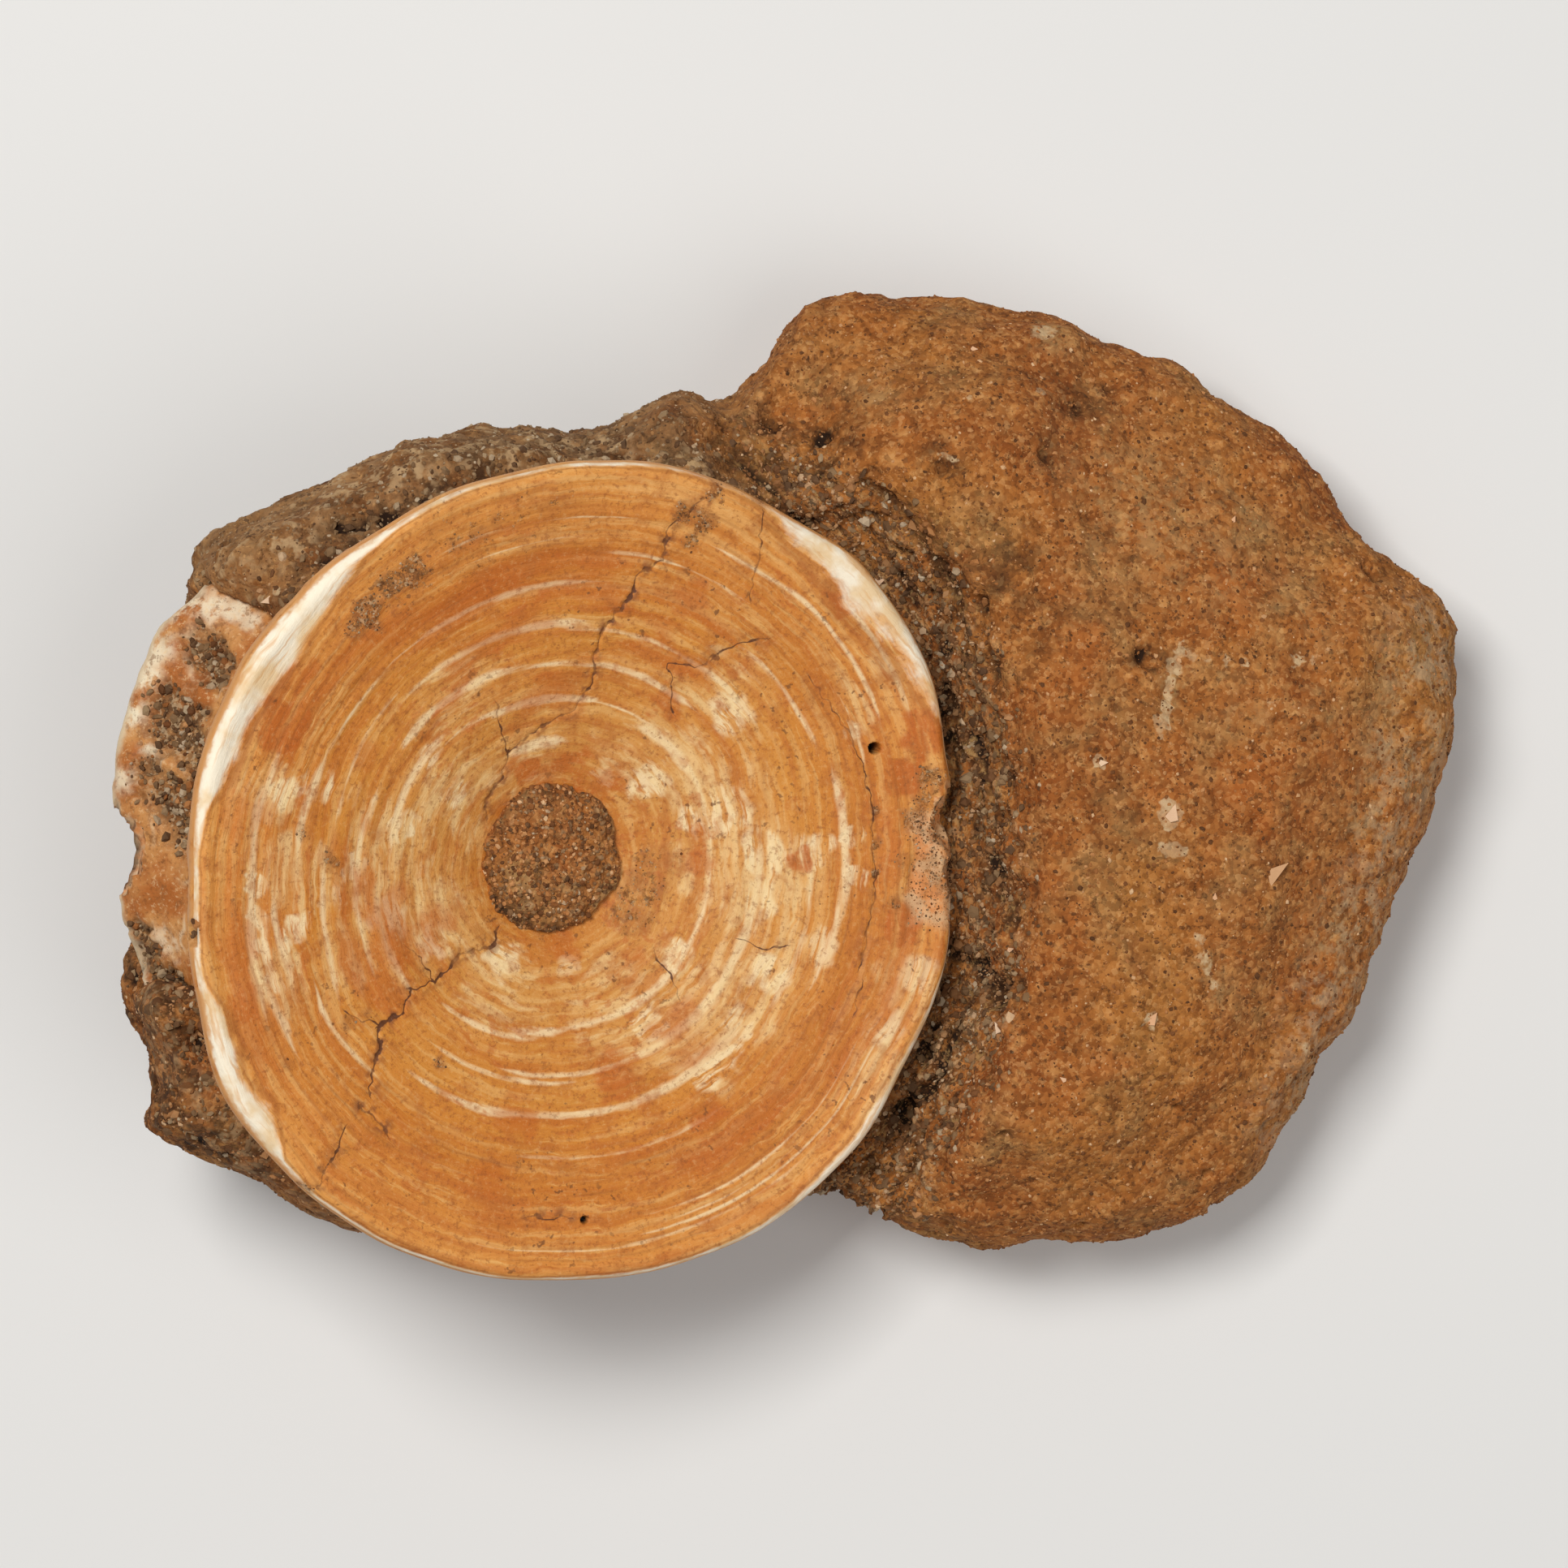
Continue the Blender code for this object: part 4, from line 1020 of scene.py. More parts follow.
heap[:, 2] = np.where(ball[:, 2] > 0, under + (crown - under) * soft_step(0.0, 0.25, ball[:, 2]), under)
upper = soft_step(0.0, 0.3, ball[:, 2])
crumbs = 0.42 * rough(heap, 2.2, 83.0) + 0.30 * rough(heap, 1.0, 84.0) + 0.22 * rough(heap, 0.5, 85.0)
crumbs += 0.10 * rough(heap, 0.28, 86.0)
heap[:, 2] += upper * crumbs
heap[:, :2] += CONE_OFFSET
move_points(plug, to_frame(heap))
keep_values(plug, "relief", crumbs * upper)
keep_values(plug, "zones", np.column_stack([upper * 0.0, upper * 0.2, upper * 0.0]))
# Darker at the heap's edge, as painted shade where the heap meets the bone, and in random patches of
# darker tone.
heap_edge_shade_and_tone = 0.6 * soft_step(0.76, 0.98, share) + 0.5 * soft_step(0.0, 0.4, rough(heap, 2.6, 87.0))
heap_light = soft_step(0.0, 0.4, rough(heap, 3.0, 88.0))
keep_values(plug, "tones", np.column_stack([heap_light * upper, heap_edge_shade_and_tone * upper, upper * 0.7]))
bpy.ops.object.shade_smooth()
print("plug:", triangles_of(plug), "triangles")

# %% [markdown]
# ## Grains
#
# Sandstone is made of grains, and they show at every edge and in every shadow. One grain is
# modelled from an icosahedron, twenty faces, and copied many thousands of times over the
# stone, the plug and the dirt. Each copy is turned, stretched and coloured by its own draw from
# a seeded generator, and set half into the surface. They are joined into a few large meshes.

# %% Places for the grains
def scatter_places(piece, count, rng, weight, tone):
    """Random places on a piece, their normals and tones: large, well-weighted faces get more."""
    mesh = piece.data
    mesh.calc_loop_triangles()
    rows = np.empty(len(mesh.loop_triangles) * 3, dtype=int)
    mesh.loop_triangles.foreach_get("vertices", rows)
    rows = rows.reshape(-1, 3)
    spots = points_of(piece)
    a, b, c = spots[rows[:, 0]], spots[rows[:, 1]], spots[rows[:, 2]]
    normal = np.cross(b - a, c - a)
    area = np.linalg.norm(normal, axis=1)
    chance = area * weight[rows].mean(axis=1)
    picked = rng.choice(len(rows), size=count, p=chance / chance.sum())
    u = rng.random(count)
    v = rng.random(count)
    fold = u + v > 1.0
    u[fold], v[fold] = 1.0 - u[fold], 1.0 - v[fold]
    place = a[picked] + u[:, None] * (b - a)[picked] + v[:, None] * (c - a)[picked]
    return place, normal[picked] / np.maximum(area[picked], 1e-9)[:, None], tone[rows[picked, 0]]


# %% One grain, copied
bpy.ops.object.select_all(action="DESELECT")
bpy.ops.mesh.primitive_ico_sphere_add(subdivisions=1, radius=1.0 * MM, location=(0.0, 0.0, 0.0))
grain = bpy.context.object
grain_points = points_of(grain)
grain_faces = np.array([list(face.vertices) for face in grain.data.polygons])
bpy.data.objects.remove(grain)


def random_turns(count, rng):
    """A random rotation matrix for each grain."""
    q = rng.normal(size=(count, 4))
    w, x, y, z = (q / np.linalg.norm(q, axis=1)[:, None]).T
    return np.stack([
        np.stack([1 - 2 * (y * y + z * z), 2 * (x * y - z * w), 2 * (x * z + y * w)], axis=1),
        np.stack([2 * (x * y + z * w), 1 - 2 * (x * x + z * z), 2 * (y * z - x * w)], axis=1),
        np.stack([2 * (x * z - y * w), 2 * (y * z + x * w), 1 - 2 * (x * x + y * y)], axis=1),
    ], axis=1)


def grains_at(name, places, sizes, shades, greys, rng, angular=0.35):
    """Joins a copy of the grain at every place into one mesh."""
    count = len(places)
    stretch = 1.0 + rng.uniform(-angular, angular, (count, 1, 3))
    dents = 1.0 + rng.uniform(-0.22, 0.22, (count, len(grain_points), 1))
    shape = grain_points[None] * stretch * dents * sizes[:, None, None]
    shape = np.einsum("nij,nkj->nki", random_turns(count, rng), shape)
    shape = shape + places[:, None]
    faces = grain_faces[None] + (np.arange(count) * len(grain_points))[:, None, None]
    mesh = bpy.data.meshes.new(name)
    mesh.from_pydata((shape.reshape(-1, 3) * MM).tolist(), [], faces.reshape(-1, 3).tolist())
    made = bpy.data.objects.new(name, mesh)
    bpy.context.scene.collection.objects.link(made)
    keep_values(made, "shade", np.repeat(shades, len(grain_points)))
    keep_values(made, "grey", np.repeat(greys, len(grain_points)))
    print(name + ":", triangles_of(made), "triangles")
    return made


# %% Grains on the stone
rng = np.random.default_rng(21)


def strew(name, piece, weight, tone, count, sizes, sink, greyer=(0.0, 0.0), angular=0.35):
    """Scatters grains: sizes are the least, the range and its power; greyer a share and a level."""
    places, outward, greys = scatter_places(piece, count, rng, weight, tone)
    least, extent, power = sizes
    size = least + extent * rng.random(count) ** power
    places = places - outward * (sink * size)[:, None]
    shades = rng.random(count)
    if greyer[0]:
        greys = np.maximum(greys, (rng.random(count) > 1.0 - greyer[0]) * greyer[1])
    return grains_at(name, places, size, shades, greys, rng, angular)


stone_points = points_of(stone)
stone_normals = normals_of(stone)
showing = soft_step(-0.5, 0.3, stone_normals[:, 2]) * soft_step(0.6, 2.0, stone_points[:, 2])
showing *= 1.0 - ((rim_distance(stone_points) < -2.0) & (stone_normals[:, 2] > -2.0)) * 0.95
grain_pieces = [strew(f"stone_grains_{index}", stone, showing * (1.0 + 1.2 * crevice), greyness,
                      count=9000, sizes=(0.11, 0.19, 3.0), sink=0.5) for index in range(3)]

# %% Coarser crumbs where the stone is loose
loose_here = showing * (crevice + 0.8 * lump * soft_step(0.3, 0.8, stone_normals[:, 2])
                        + 0.6 * shade_beside_rim)
stone_crumbs = strew("stone_crumbs", stone, loose_here, greyness, count=5200,
                     sizes=(0.18, 0.34, 2.2), sink=0.35, greyer=(0.5, 1.0), angular=0.45)

# %% Grains on the plug, in the wall's pits and on the dirt of the face
plug_weight = soft_step(0.2, 0.7, normals_of(plug)[:, 2])
heap_grains = strew("heap_grains", plug, plug_weight, 0.0 * plug_weight, count=1500,
                    sizes=(0.10, 0.22, 2.0), sink=0.3, greyer=(0.25, 0.8))
dirt_weight = np.where(wall, 0.0, soft_step(0.35, 1.0, dirt)) + 0.8 * torn
bone_grains = strew("bone_grit", bone, dirt_weight, 0.0 * dirt, count=1500,
                    sizes=(0.05, 0.12, 2.0), sink=0.4, greyer=(0.6, 1.0))
wall_crumbs = strew("wall_crumbs", bone, soft_step(0.3, 0.8, grit), 0.0 * grit, count=3600,
                    sizes=(0.12, 0.34, 2.4), sink=-0.1, greyer=(0.85, 1.0), angular=0.45)

# %% [markdown]
# ## Pale shards
#
# A few chips of white bone and shell lie in the stone's top. Each is a small four-cornered
# plate with its edges sunk in the stone, at the pixel where the photograph shows it. Plates suit
# them better than grains, because broken shell is flat with sharp corners.

# %% Shards at their photographed places: pixel, length, width, heading and shade
SHARDS = [
    (1569, 1077, 1.8, 1.0, 40.0, 0.2), (1445, 1003, 1.0, 0.8, 80.0, 0.8),
    (1230, 1268, 0.8, 0.5, 120.0, 1.0), (1359, 940, 0.5, 0.4, 10.0, 0.9),
    (1420, 1256, 0.8, 0.6, 60.0, 0.6), (1200, 430, 0.4, 0.3, 0.0, 0.7),
    (1084, 716, 0.7, 0.5, 30.0, 0.8), (330, 740, 0.7, 0.5, 200.0, 0.9),
    (1497, 1105, 0.4, 0.3, 90.0, 0.6), (1310, 1330, 0.4, 0.3, 150.0, 0.7),
    (1245, 1170, 0.4, 0.3, 20.0, 0.7), (1520, 640, 0.4, 0.3, 70.0, 0.6),
]
SHARD_SHAPE = np.array([(1.0, -0.1), (-0.35, 0.85), (-0.8, 0.1), (-0.5, -0.75)])

corners, sides, shades = [], [], []
for x, y, length, width, turned, shade in SHARDS:
    place = spot_on(stone, x, y)
    if place is None:
        continue
    turned = math.radians(turned)
    spin = np.array([[math.cos(turned), -math.sin(turned)], [math.sin(turned), math.cos(turned)]])
    flat = SHARD_SHAPE * (length, width) @ spin.T
    first = len(corners)
    for height in (-0.5, 0.16):
        corners += [(place[0] + a, place[1] + b, place[2] + height) for a, b in flat]
    sides += [[first + 3, first + 2, first + 1, first], [first + 4, first + 5, first + 6, first + 7]]
    sides += [[first + i, first + (i + 1) % 4, first + 4 + (i + 1) % 4, first + 4 + i] for i in range(4)]
    shades += [shade] * 8
shard_mesh = bpy.data.meshes.new("pale_shards")
shard_mesh.from_pydata((np.array(corners) * MM).tolist(), [], sides)
shards = bpy.data.objects.new("pale_shards", shard_mesh)
bpy.context.scene.collection.objects.link(shards)
keep_values(shards, "shade", np.array(shades))
print("pale shards:", len(SHARDS))

# %% [markdown]
# ## Building materials from nodes
#
# Each material is a small network of nodes. A few short functions write them: one adds a node
# and links what it is given, the others name the sums and blends that every material uses.

# %% Node helpers
def fill(tree, socket, value):
    if isinstance(value, bpy.types.NodeSocket):
        tree.links.new(value, socket)
    else:
        socket.default_value = value


def add_node(tree, kind, inputs=None, **settings):
    made = tree.nodes.new(kind)
    for key, value in settings.items():
        setattr(made, key, value)
    for socket, value in (inputs or {}).items():
        fill(tree, made.inputs[socket], value)
    return made


def sums(tree, operation, first, second=0.0, clamp=False):
    inputs = {0: first} if second is None else {0: first, 1: second}
    return add_node(tree, "ShaderNodeMath", inputs, operation=operation, use_clamp=clamp).outputs[0]


def times(tree, first, second, clamp=False):
    return sums(tree, "MULTIPLY", first, second, clamp)


def plus(tree, first, second, clamp=False):
    return sums(tree, "ADD", first, second, clamp)


def vector_sum(tree, operation, first, second):
    made = add_node(tree, "ShaderNodeVectorMath", {0: first}, operation=operation)
    if operation == "SCALE":
        fill(tree, made.inputs["Scale"], second)
    elif second is not None:
        fill(tree, made.inputs[1], second)
    return made.outputs["Value" if operation == "LENGTH" else "Vector"]


def soft(tree, low, high, value):
    """A soft step as a node: 0 at low, 1 at high."""
    inputs = {"Value": value, "From Min": low, "From Max": high}
    made = add_node(tree, "ShaderNodeMapRange", inputs, interpolation_type="SMOOTHSTEP")
    return made.outputs["Result"]


def blend(tree, mask, first, second):
    made = add_node(tree, "ShaderNodeMix", data_type="RGBA")
    for index, value in ((0, mask), (6, first), (7, second)):
        fill(tree, made.inputs[index], value)
    return made.outputs[2]


def tint(tree, colour, mask, share, shade):
    """Mixes a shade, from 0 to 255, into a colour where the mask is, by this share at most."""
    return blend(tree, times(tree, mask, share), colour, paint(*shade))


def stops(tree, value, table):
    """A colour ramp: each row is a place and a colour or a grey level."""
    made = add_node(tree, "ShaderNodeValToRGB", {"Fac": value})
    bar = made.color_ramp.elements
    while len(bar) < len(table):
        bar.new(0.5)
    for element, (place, colour) in zip(bar, table):
        element.position = place
        element.color = paint(*colour) if isinstance(colour, tuple) else (colour,) * 3 + (1.0,)
    return made.outputs["Color"]


def cloud(tree, vector, scale, detail=3.0, rough_share=0.55):
    inputs = {"Vector": vector, "Scale": scale, "Detail": detail, "Roughness": rough_share}
    return add_node(tree, "ShaderNodeTexNoise", inputs).outputs["Fac"]


def stored(tree, name, output="Fac"):
    return add_node(tree, "ShaderNodeAttribute", attribute_name=name).outputs[output]


def split(tree, vector):
    return add_node(tree, "ShaderNodeSeparateXYZ", {0: vector}).outputs


def new_material(name):
    made = bpy.data.materials.new(name)
    made.use_nodes = True
    tree = made.node_tree
    shader = tree.nodes["Principled BSDF"]
    place = add_node(tree, "ShaderNodeTexCoord").outputs["Object"]
    return made, tree, shader, place


def bump(tree, shader, height, distance, strength=1.0):
    inputs = {"Height": height, "Distance": distance * MM, "Strength": strength}
    tree.links.new(add_node(tree, "ShaderNodeBump", inputs).outputs[0], shader.inputs["Normal"])


# %% [markdown]
# ## Sandy sediment
#
# The stone, the plug, the loose grains and the dirt on the bone are the same stuff: rust-brown
# sand with dark, pale and grey grains. One node group makes its colour and its fine relief, and
# each material sets how dark and how grey it is there.

# %% The shared sediment group
SAND_PATCHES = [(0.30, (132, 66, 24)), (0.43, (156, 88, 36)), (0.56, (170, 106, 46)),
                (0.72, (150, 104, 50))]
SAND_GRAINS = [(0.00, (72, 40, 18)), (0.20, (118, 66, 28)), (0.45, (152, 92, 42)),
               (0.70, (178, 114, 56)), (0.90, (196, 134, 74)), (1.00, (212, 160, 102))]


def sediment_group():
    group = bpy.data.node_groups.new("Sandy sediment", "ShaderNodeTree")
    face = group.interface
    face.new_socket("Vector", in_out="INPUT", socket_type="NodeSocketVector")
    face.new_socket("Dark", in_out="INPUT", socket_type="NodeSocketFloat")
    face.new_socket("Grey", in_out="INPUT", socket_type="NodeSocketFloat")
    face.new_socket("Colour", in_out="OUTPUT", socket_type="NodeSocketColor")
    face.new_socket("Height", in_out="OUTPUT", socket_type="NodeSocketFloat")
    given = group.nodes.new("NodeGroupInput").outputs
    result = group.nodes.new("NodeGroupOutput").inputs
    vector = given["Vector"]
    patches = stops(group, cloud(group, vector, 55.0, 4.0), SAND_PATCHES)
    olive = soft(group, 0.50, 0.66, cloud(group, vector, 120.0, 4.0, 0.6))
    patches = tint(group, patches, olive, 0.7, (150, 116, 70))
    clods = cloud(group, vector, 230.0, 4.0, 0.65)
    clumps = times(group, soft(group, 0.46, 0.66, clods), 0.6)
    colour = blend(group, clumps, patches, paint(132, 78, 36))
    small = cloud(group, vector, 620.0, 3.0, 0.6)
    colour = tint(group, colour, soft(group, 0.52, 0.68, small), 0.78, (112, 62, 24))
    colour = tint(group, colour, soft(group, 0.47, 0.32, small), 0.62, (204, 146, 84))
    rust = soft(group, 0.55, 0.70, cloud(group, vector, 130.0, 3.0))
    colour = tint(group, colour, rust, 0.6, (172, 92, 36))
    cells = add_node(group, "ShaderNodeTexVoronoi", {"Vector": vector, "Scale": 2100.0})
    pick = split(group, cells.outputs["Color"])[0]
    grains = stops(group, pick, SAND_GRAINS)
    colour = blend(group, 0.36, colour, grains)
    grey = blend(group, soft(group, 0.35, 0.65, clods), paint(94, 64, 38), paint(164, 126, 84))
    colour = blend(group, times(group, given["Grey"], 0.7), colour, grey)
    specks = soft(group, 0.55, 0.67, cloud(group, vector, 1200.0, 4.0, 0.7))
    colour = tint(group, colour, specks, 0.7, (70, 38, 16))
    fine = soft(group, 0.56, 0.70, cloud(group, vector, 1500.0, 3.0, 0.75))
    colour = tint(group, colour, fine, 0.5, (214, 160, 100))
    # The Dark input blends towards a near-black brown. It carries painted shade from the stone's material
    # (pits, hollows, beside the rim) and darker tone from patches and pores.
    colour = blend(group, given["Dark"], colour, paint(44, 27, 15))
    fill(group, result["Colour"], colour)
    height = sums(group, "SUBTRACT", cloud(group, vector, 700.0, 4.0, 0.7),
                  times(group, cells.outputs["Distance"], 0.35))
    fill(group, result["Height"], height)
    return group


SEDIMENT = sediment_group()
print("nodes in the sediment group:", len(SEDIMENT.nodes))


def sediment(tree, vector, dark, grey):
    made = add_node(tree, "ShaderNodeGroup", node_tree=SEDIMENT)
    for name, value in (("Vector", vector), ("Dark", dark), ("Grey", grey)):
        fill(tree, made.inputs[name], value)
    return made.outputs["Colour"], made.outputs["Height"]


# %% The stone's material
def stone_material(name, bump_light_share):
    made, tree, shader, place = new_material(name)
    relief_here = stored(tree, "relief")
    zones = split(tree, stored(tree, "zones", "Vector"))
    tones = split(tree, stored(tree, "tones", "Vector"))
    # Painted shade: the colour darkens in the pits and hollows of the relief, and more so in the crumbly
    # zones.
    painted_pit_shade = soft(tree, -0.15, -1.1, relief_here)
    dark = times(tree, painted_pit_shade, plus(tree, 0.55, times(tree, tones[2], 0.4)))
    # Painted shade and darker tone: the second tone darkens the colour in noisy patches.
    shade = times(tree, tones[1], soft(tree, 0.38, 0.62, cloud(tree, place, 420.0, 4.0, 0.65)))
    dark = plus(tree, dark, times(tree, shade, 0.85), clamp=True)
    colour, height = sediment(tree, place, dark, zones[1])
    # Painted light: raised bumps of the relief are painted paler, by at most the share that the function
    # is given.
    painted_bump_light = soft(tree, 0.2, 0.9, relief_here)
    colour = blend(tree, times(tree, painted_bump_light, bump_light_share), colour, paint(194, 132, 72))
    crumbs_here = times(tree, tones[2], soft(tree, 0.05, 0.5, relief_here))
    crumbs_here = times(tree, crumbs_here, soft(tree, 0.45, 0.6, cloud(tree, place, 800.0, 2.0)))
    colour = tint(tree, colour, crumbs_here, 0.8, (198, 164, 120))
    scrape = soft(tree, 0.42, 0.62, cloud(tree, place, 520.0, 4.0, 0.65))
    pale = times(tree, tones[0], scrape)
    colour = tint(tree, colour, pale, 0.5, (178, 142, 92))
    torn_up = stored(tree, "furrows", "Vector")
    # Painted shade: near-black slits along the furrows of the crevice beside the rim.
    painted_crevice_shade = times(tree, zones[0], soft(tree, 0.50, 0.37, cloud(tree, torn_up, 1.0, 3.0, 0.65)))
    colour = tint(tree, colour, painted_crevice_shade, 0.8, (40, 25, 14))
    further = vector_sum(tree, "ADD", torn_up, (9.0, 3.0, 5.0))
    ash = soft(tree, 0.53, 0.68, cloud(tree, further, 1.0, 4.0, 0.7))
    ash = times(tree, zones[0], ash)
    colour = tint(tree, colour, ash, 0.8, (176, 136, 84))
    ragged = times(tree, sums(tree, "SUBTRACT", cloud(tree, place, 900.0, 3.0, 0.6), 0.5), 1.6)
    chips = soft(tree, 0.45, 0.75, plus(tree, stored(tree, "chips"), ragged))
    chips = times(tree, chips, soft(tree, 0.05, 0.3, stored(tree, "chips")))
    chips = times(tree, chips, plus(tree, 0.35, times(tree, scrape, 0.45)))
    colour = blend(tree, chips, colour, paint(206, 176, 134))
    worn_here = times(tree, zones[2], scrape)
    colour = tint(tree, colour, worn_here, 0.42, (190, 164, 130))
    fill(tree, shader.inputs["Base Color"], colour)
    shader.inputs["Roughness"].default_value = 0.93
    shader.inputs["Specular IOR Level"].default_value = 0.2
    bump(tree, shader, height, 0.24)
    return made


stone.data.materials.append(stone_material("sandy stone", 0.35))
plug.data.materials.append(stone_material("packed sediment", 0.7))
print("finishes so far:", [made.name for made in bpy.data.materials])


# %% Loose grains and shards
def grain_material(name, table, roughness):
    made, tree, shader, place = new_material(name)
    colour = stops(tree, stored(tree, "shade"), table)
    colour = blend(tree, stored(tree, "grey"), colour, stops(tree, stored(tree, "shade"), GREY_COLOURS))
    uneven = cloud(tree, place, 900.0, 2.0)
    colour = tint(tree, colour, uneven, 0.3, (140, 92, 50))
    fill(tree, shader.inputs["Base Color"], colour)
    shader.inputs["Roughness"].default_value = roughness
    shader.inputs["Specular IOR Level"].default_value = 0.25
    bump(tree, shader, cloud(tree, place, 2600.0, 2.0), 0.05)
    return made


GRAIN_COLOURS = [(0.0, (70, 42, 20)), (0.25, (112, 66, 32)), (0.55, (154, 96, 48)),
                 (0.80, (178, 118, 66)), (0.95, (198, 142, 90)), (1.0, (222, 184, 140))]
GREY_COLOURS = [(0.0, (78, 56, 38)), (0.30, (104, 78, 52)), (0.60, (130, 102, 70)),
                (0.85, (160, 134, 100)), (1.0, (196, 176, 146))]
SHARD_COLOURS = [(0.0, (196, 150, 104)), (0.6, (222, 170, 126)), (1.0, (236, 206, 172))]
loose = grain_material("loose grains", GRAIN_COLOURS, 0.85)
for piece in [*grain_pieces, stone_crumbs, heap_grains, bone_grains, wall_crumbs]:
    piece.data.materials.append(loose)
shards.data.materials.append(grain_material("pale shards", SHARD_COLOURS, 0.6))
print("stops in the grain colours:", len(GRAIN_COLOURS), "and in the grey ones:", len(GREY_COLOURS))


# %% [markdown]
# ## Fossil bone
#
# Minerals have stained the bone amber and orange in rings, with cream streaks where the bone
# stayed dense, and a rim that is nearly ivory. The rings come from the stored growth place,
# which followed the bone when its outline was made uneven. Streaks are noise that is stretched
# along the rings: its vector holds the heading round the axis and a much finer step across.

# %% Ring colours
RING_COLOURS = [(0.16, (192, 116, 42)), (0.22, (200, 128, 52)), (0.30, (204, 138, 64)),
                (0.36, (206, 138, 62)), (0.42, (206, 136, 58)), (0.50, (206, 132, 54)),
                (0.58, (208, 136, 54)), (0.66, (206, 130, 48)), (0.74, (200, 122, 44)),
                (0.82, (206, 128, 50)), (0.88, (212, 136, 58)), (0.94, (218, 144, 66)),
                (0.98, (222, 152, 76))]


def bone_material():
    made, tree, shader, place = new_material("fossil bone")
    grown = stored(tree, "grown", "Vector")
    flat = vector_sum(tree, "MULTIPLY", grown, (1.0, 1.0, 0.0))
    ring_here = vector_sum(tree, "LENGTH", flat, None)
    heading_here = vector_sum(tree, "NORMALIZE", flat, None)
    drop = split(tree, grown)[2]

    swirl = times(tree, sums(tree, "SUBTRACT", cloud(tree, place, 240.0, 3.0, 0.6), 0.5), 0.035)
    wavy_ring = plus(tree, ring_here, swirl)

    def streak(turns, steps, detail=3.0, rough_share=0.6):
        up = add_node(tree, "ShaderNodeCombineXYZ", {2: times(tree, wavy_ring, steps)})
        vector = vector_sum(tree, "ADD", vector_sum(tree, "SCALE", heading_here, turns), up.outputs[0])
        return cloud(tree, vector, 1.0, detail, rough_share)

    wander = times(tree, sums(tree, "SUBTRACT", streak(1.4, 3.0), 0.5), 0.05)

    # Ring colours, brushed darker and lighter along the rings
    ring_value = plus(tree, ring_here, wander)
    colour = stops(tree, ring_value, RING_COLOURS)
    fine = streak(6.0, 90.0, 4.0, 0.7)
    brushed = plus(tree, soft(tree, 0.40, 0.62, cloud(tree, place, 120.0, 3.0, 0.6)),
                   times(tree, soft(tree, 0.72, 0.84, ring_here), 0.5))
    darker = times(tree, soft(tree, 0.52, 0.72, fine), plus(tree, 0.10, times(tree, brushed, 0.38)))
    colour = blend(tree, darker, colour, paint(176, 92, 30))
    lighter = times(tree, soft(tree, 0.47, 0.30, fine), plus(tree, 0.10, times(tree, brushed, 0.38)))
    colour = blend(tree, lighter, colour, paint(236, 186, 112))
    bands = streak(1.3, 44.0, 2.0, 0.5)
    colour = tint(tree, colour, soft(tree, 0.51, 0.66, bands), 0.45, (184, 98, 32))
    colour = tint(tree, colour, soft(tree, 0.48, 0.34, bands), 0.35, (234, 186, 116))

    # Cream arcs and patches, pale washes and strokes
    broad = streak(2.4, 26.0)
    gap_noise = sums(tree, "SUBTRACT", streak(4.0, 34.0, 3.0, 0.65), 0.5)
    gap = plus(tree, stored(tree, "arc"), times(tree, gap_noise, 2.2))
    cream_mask = soft(tree, 1.25, 0.25, gap)
    marks = split(tree, stored(tree, "marks", "Vector"))
    weave = times(tree, soft(tree, 0.36, 0.52, broad), soft(tree, 0.38, 0.52, streak(4.0, 70.0)))
    patchy = times(tree, soft(tree, 0.15, 0.65, marks[1]), weave)
    cream_mask = sums(tree, "MAXIMUM", times(tree, cream_mask, 0.85), patchy)
    cream_mask = times(tree, cream_mask, soft(tree, 0.16, 0.38, streak(5.0, 80.0)))
    colour = tint(tree, colour, cream_mask, 0.86, (244, 218, 170))
    haze = times(tree, stored(tree, "wash"), soft(tree, 0.36, 0.62, streak(2.2, 9.0, 3.0, 0.6)))
    colour = tint(tree, colour, haze, 0.27, (236, 196, 132))
    strokes = plus(tree, streak(3.0, 40.0, 4.0, 0.62), times(tree, stored(tree, "wash"), 0.14))
    strokes = times(tree, soft(tree, 0.54, 0.72, strokes), soft(tree, 0.1, 0.4, stored(tree, "wash")))
    colour = tint(tree, colour, strokes, 0.5, (240, 206, 146))

    # Rust flecks and stains, and a fine mottle
    flecks = times(tree, soft(tree, 0.53, 0.66, streak(9.0, 30.0, 3.0, 0.65)),
                   soft(tree, 0.40, 0.60, cloud(tree, place, 90.0, 3.0)))
    colour = tint(tree, colour, flecks, 0.6, (186, 100, 38))
    wide = streak(1.6, 7.0, 3.0, 0.6)
    stained = times(tree, soft(tree, 0.1, 0.7, marks[2]), soft(tree, 0.34, 0.54, streak(2.5, 24.0)))
    stained = sums(tree, "MAXIMUM", stained, times(tree, soft(tree, 0.52, 0.66, wide), 0.7))
    colour = tint(tree, colour, stained, 0.85, (186, 94, 28))
    mottle = cloud(tree, place, 420.0, 4.0, 0.65)
    colour = tint(tree, colour, soft(tree, 0.50, 0.68, mottle), 0.5, (176, 100, 40))
    dust = cloud(tree, place, 1900.0, 4.0, 0.7)
    colour = tint(tree, colour, soft(tree, 0.52, 0.66, dust), 0.5, (144, 78, 32))
    colour = tint(tree, colour, soft(tree, 0.46, 0.32, dust), 0.18, (240, 198, 134))

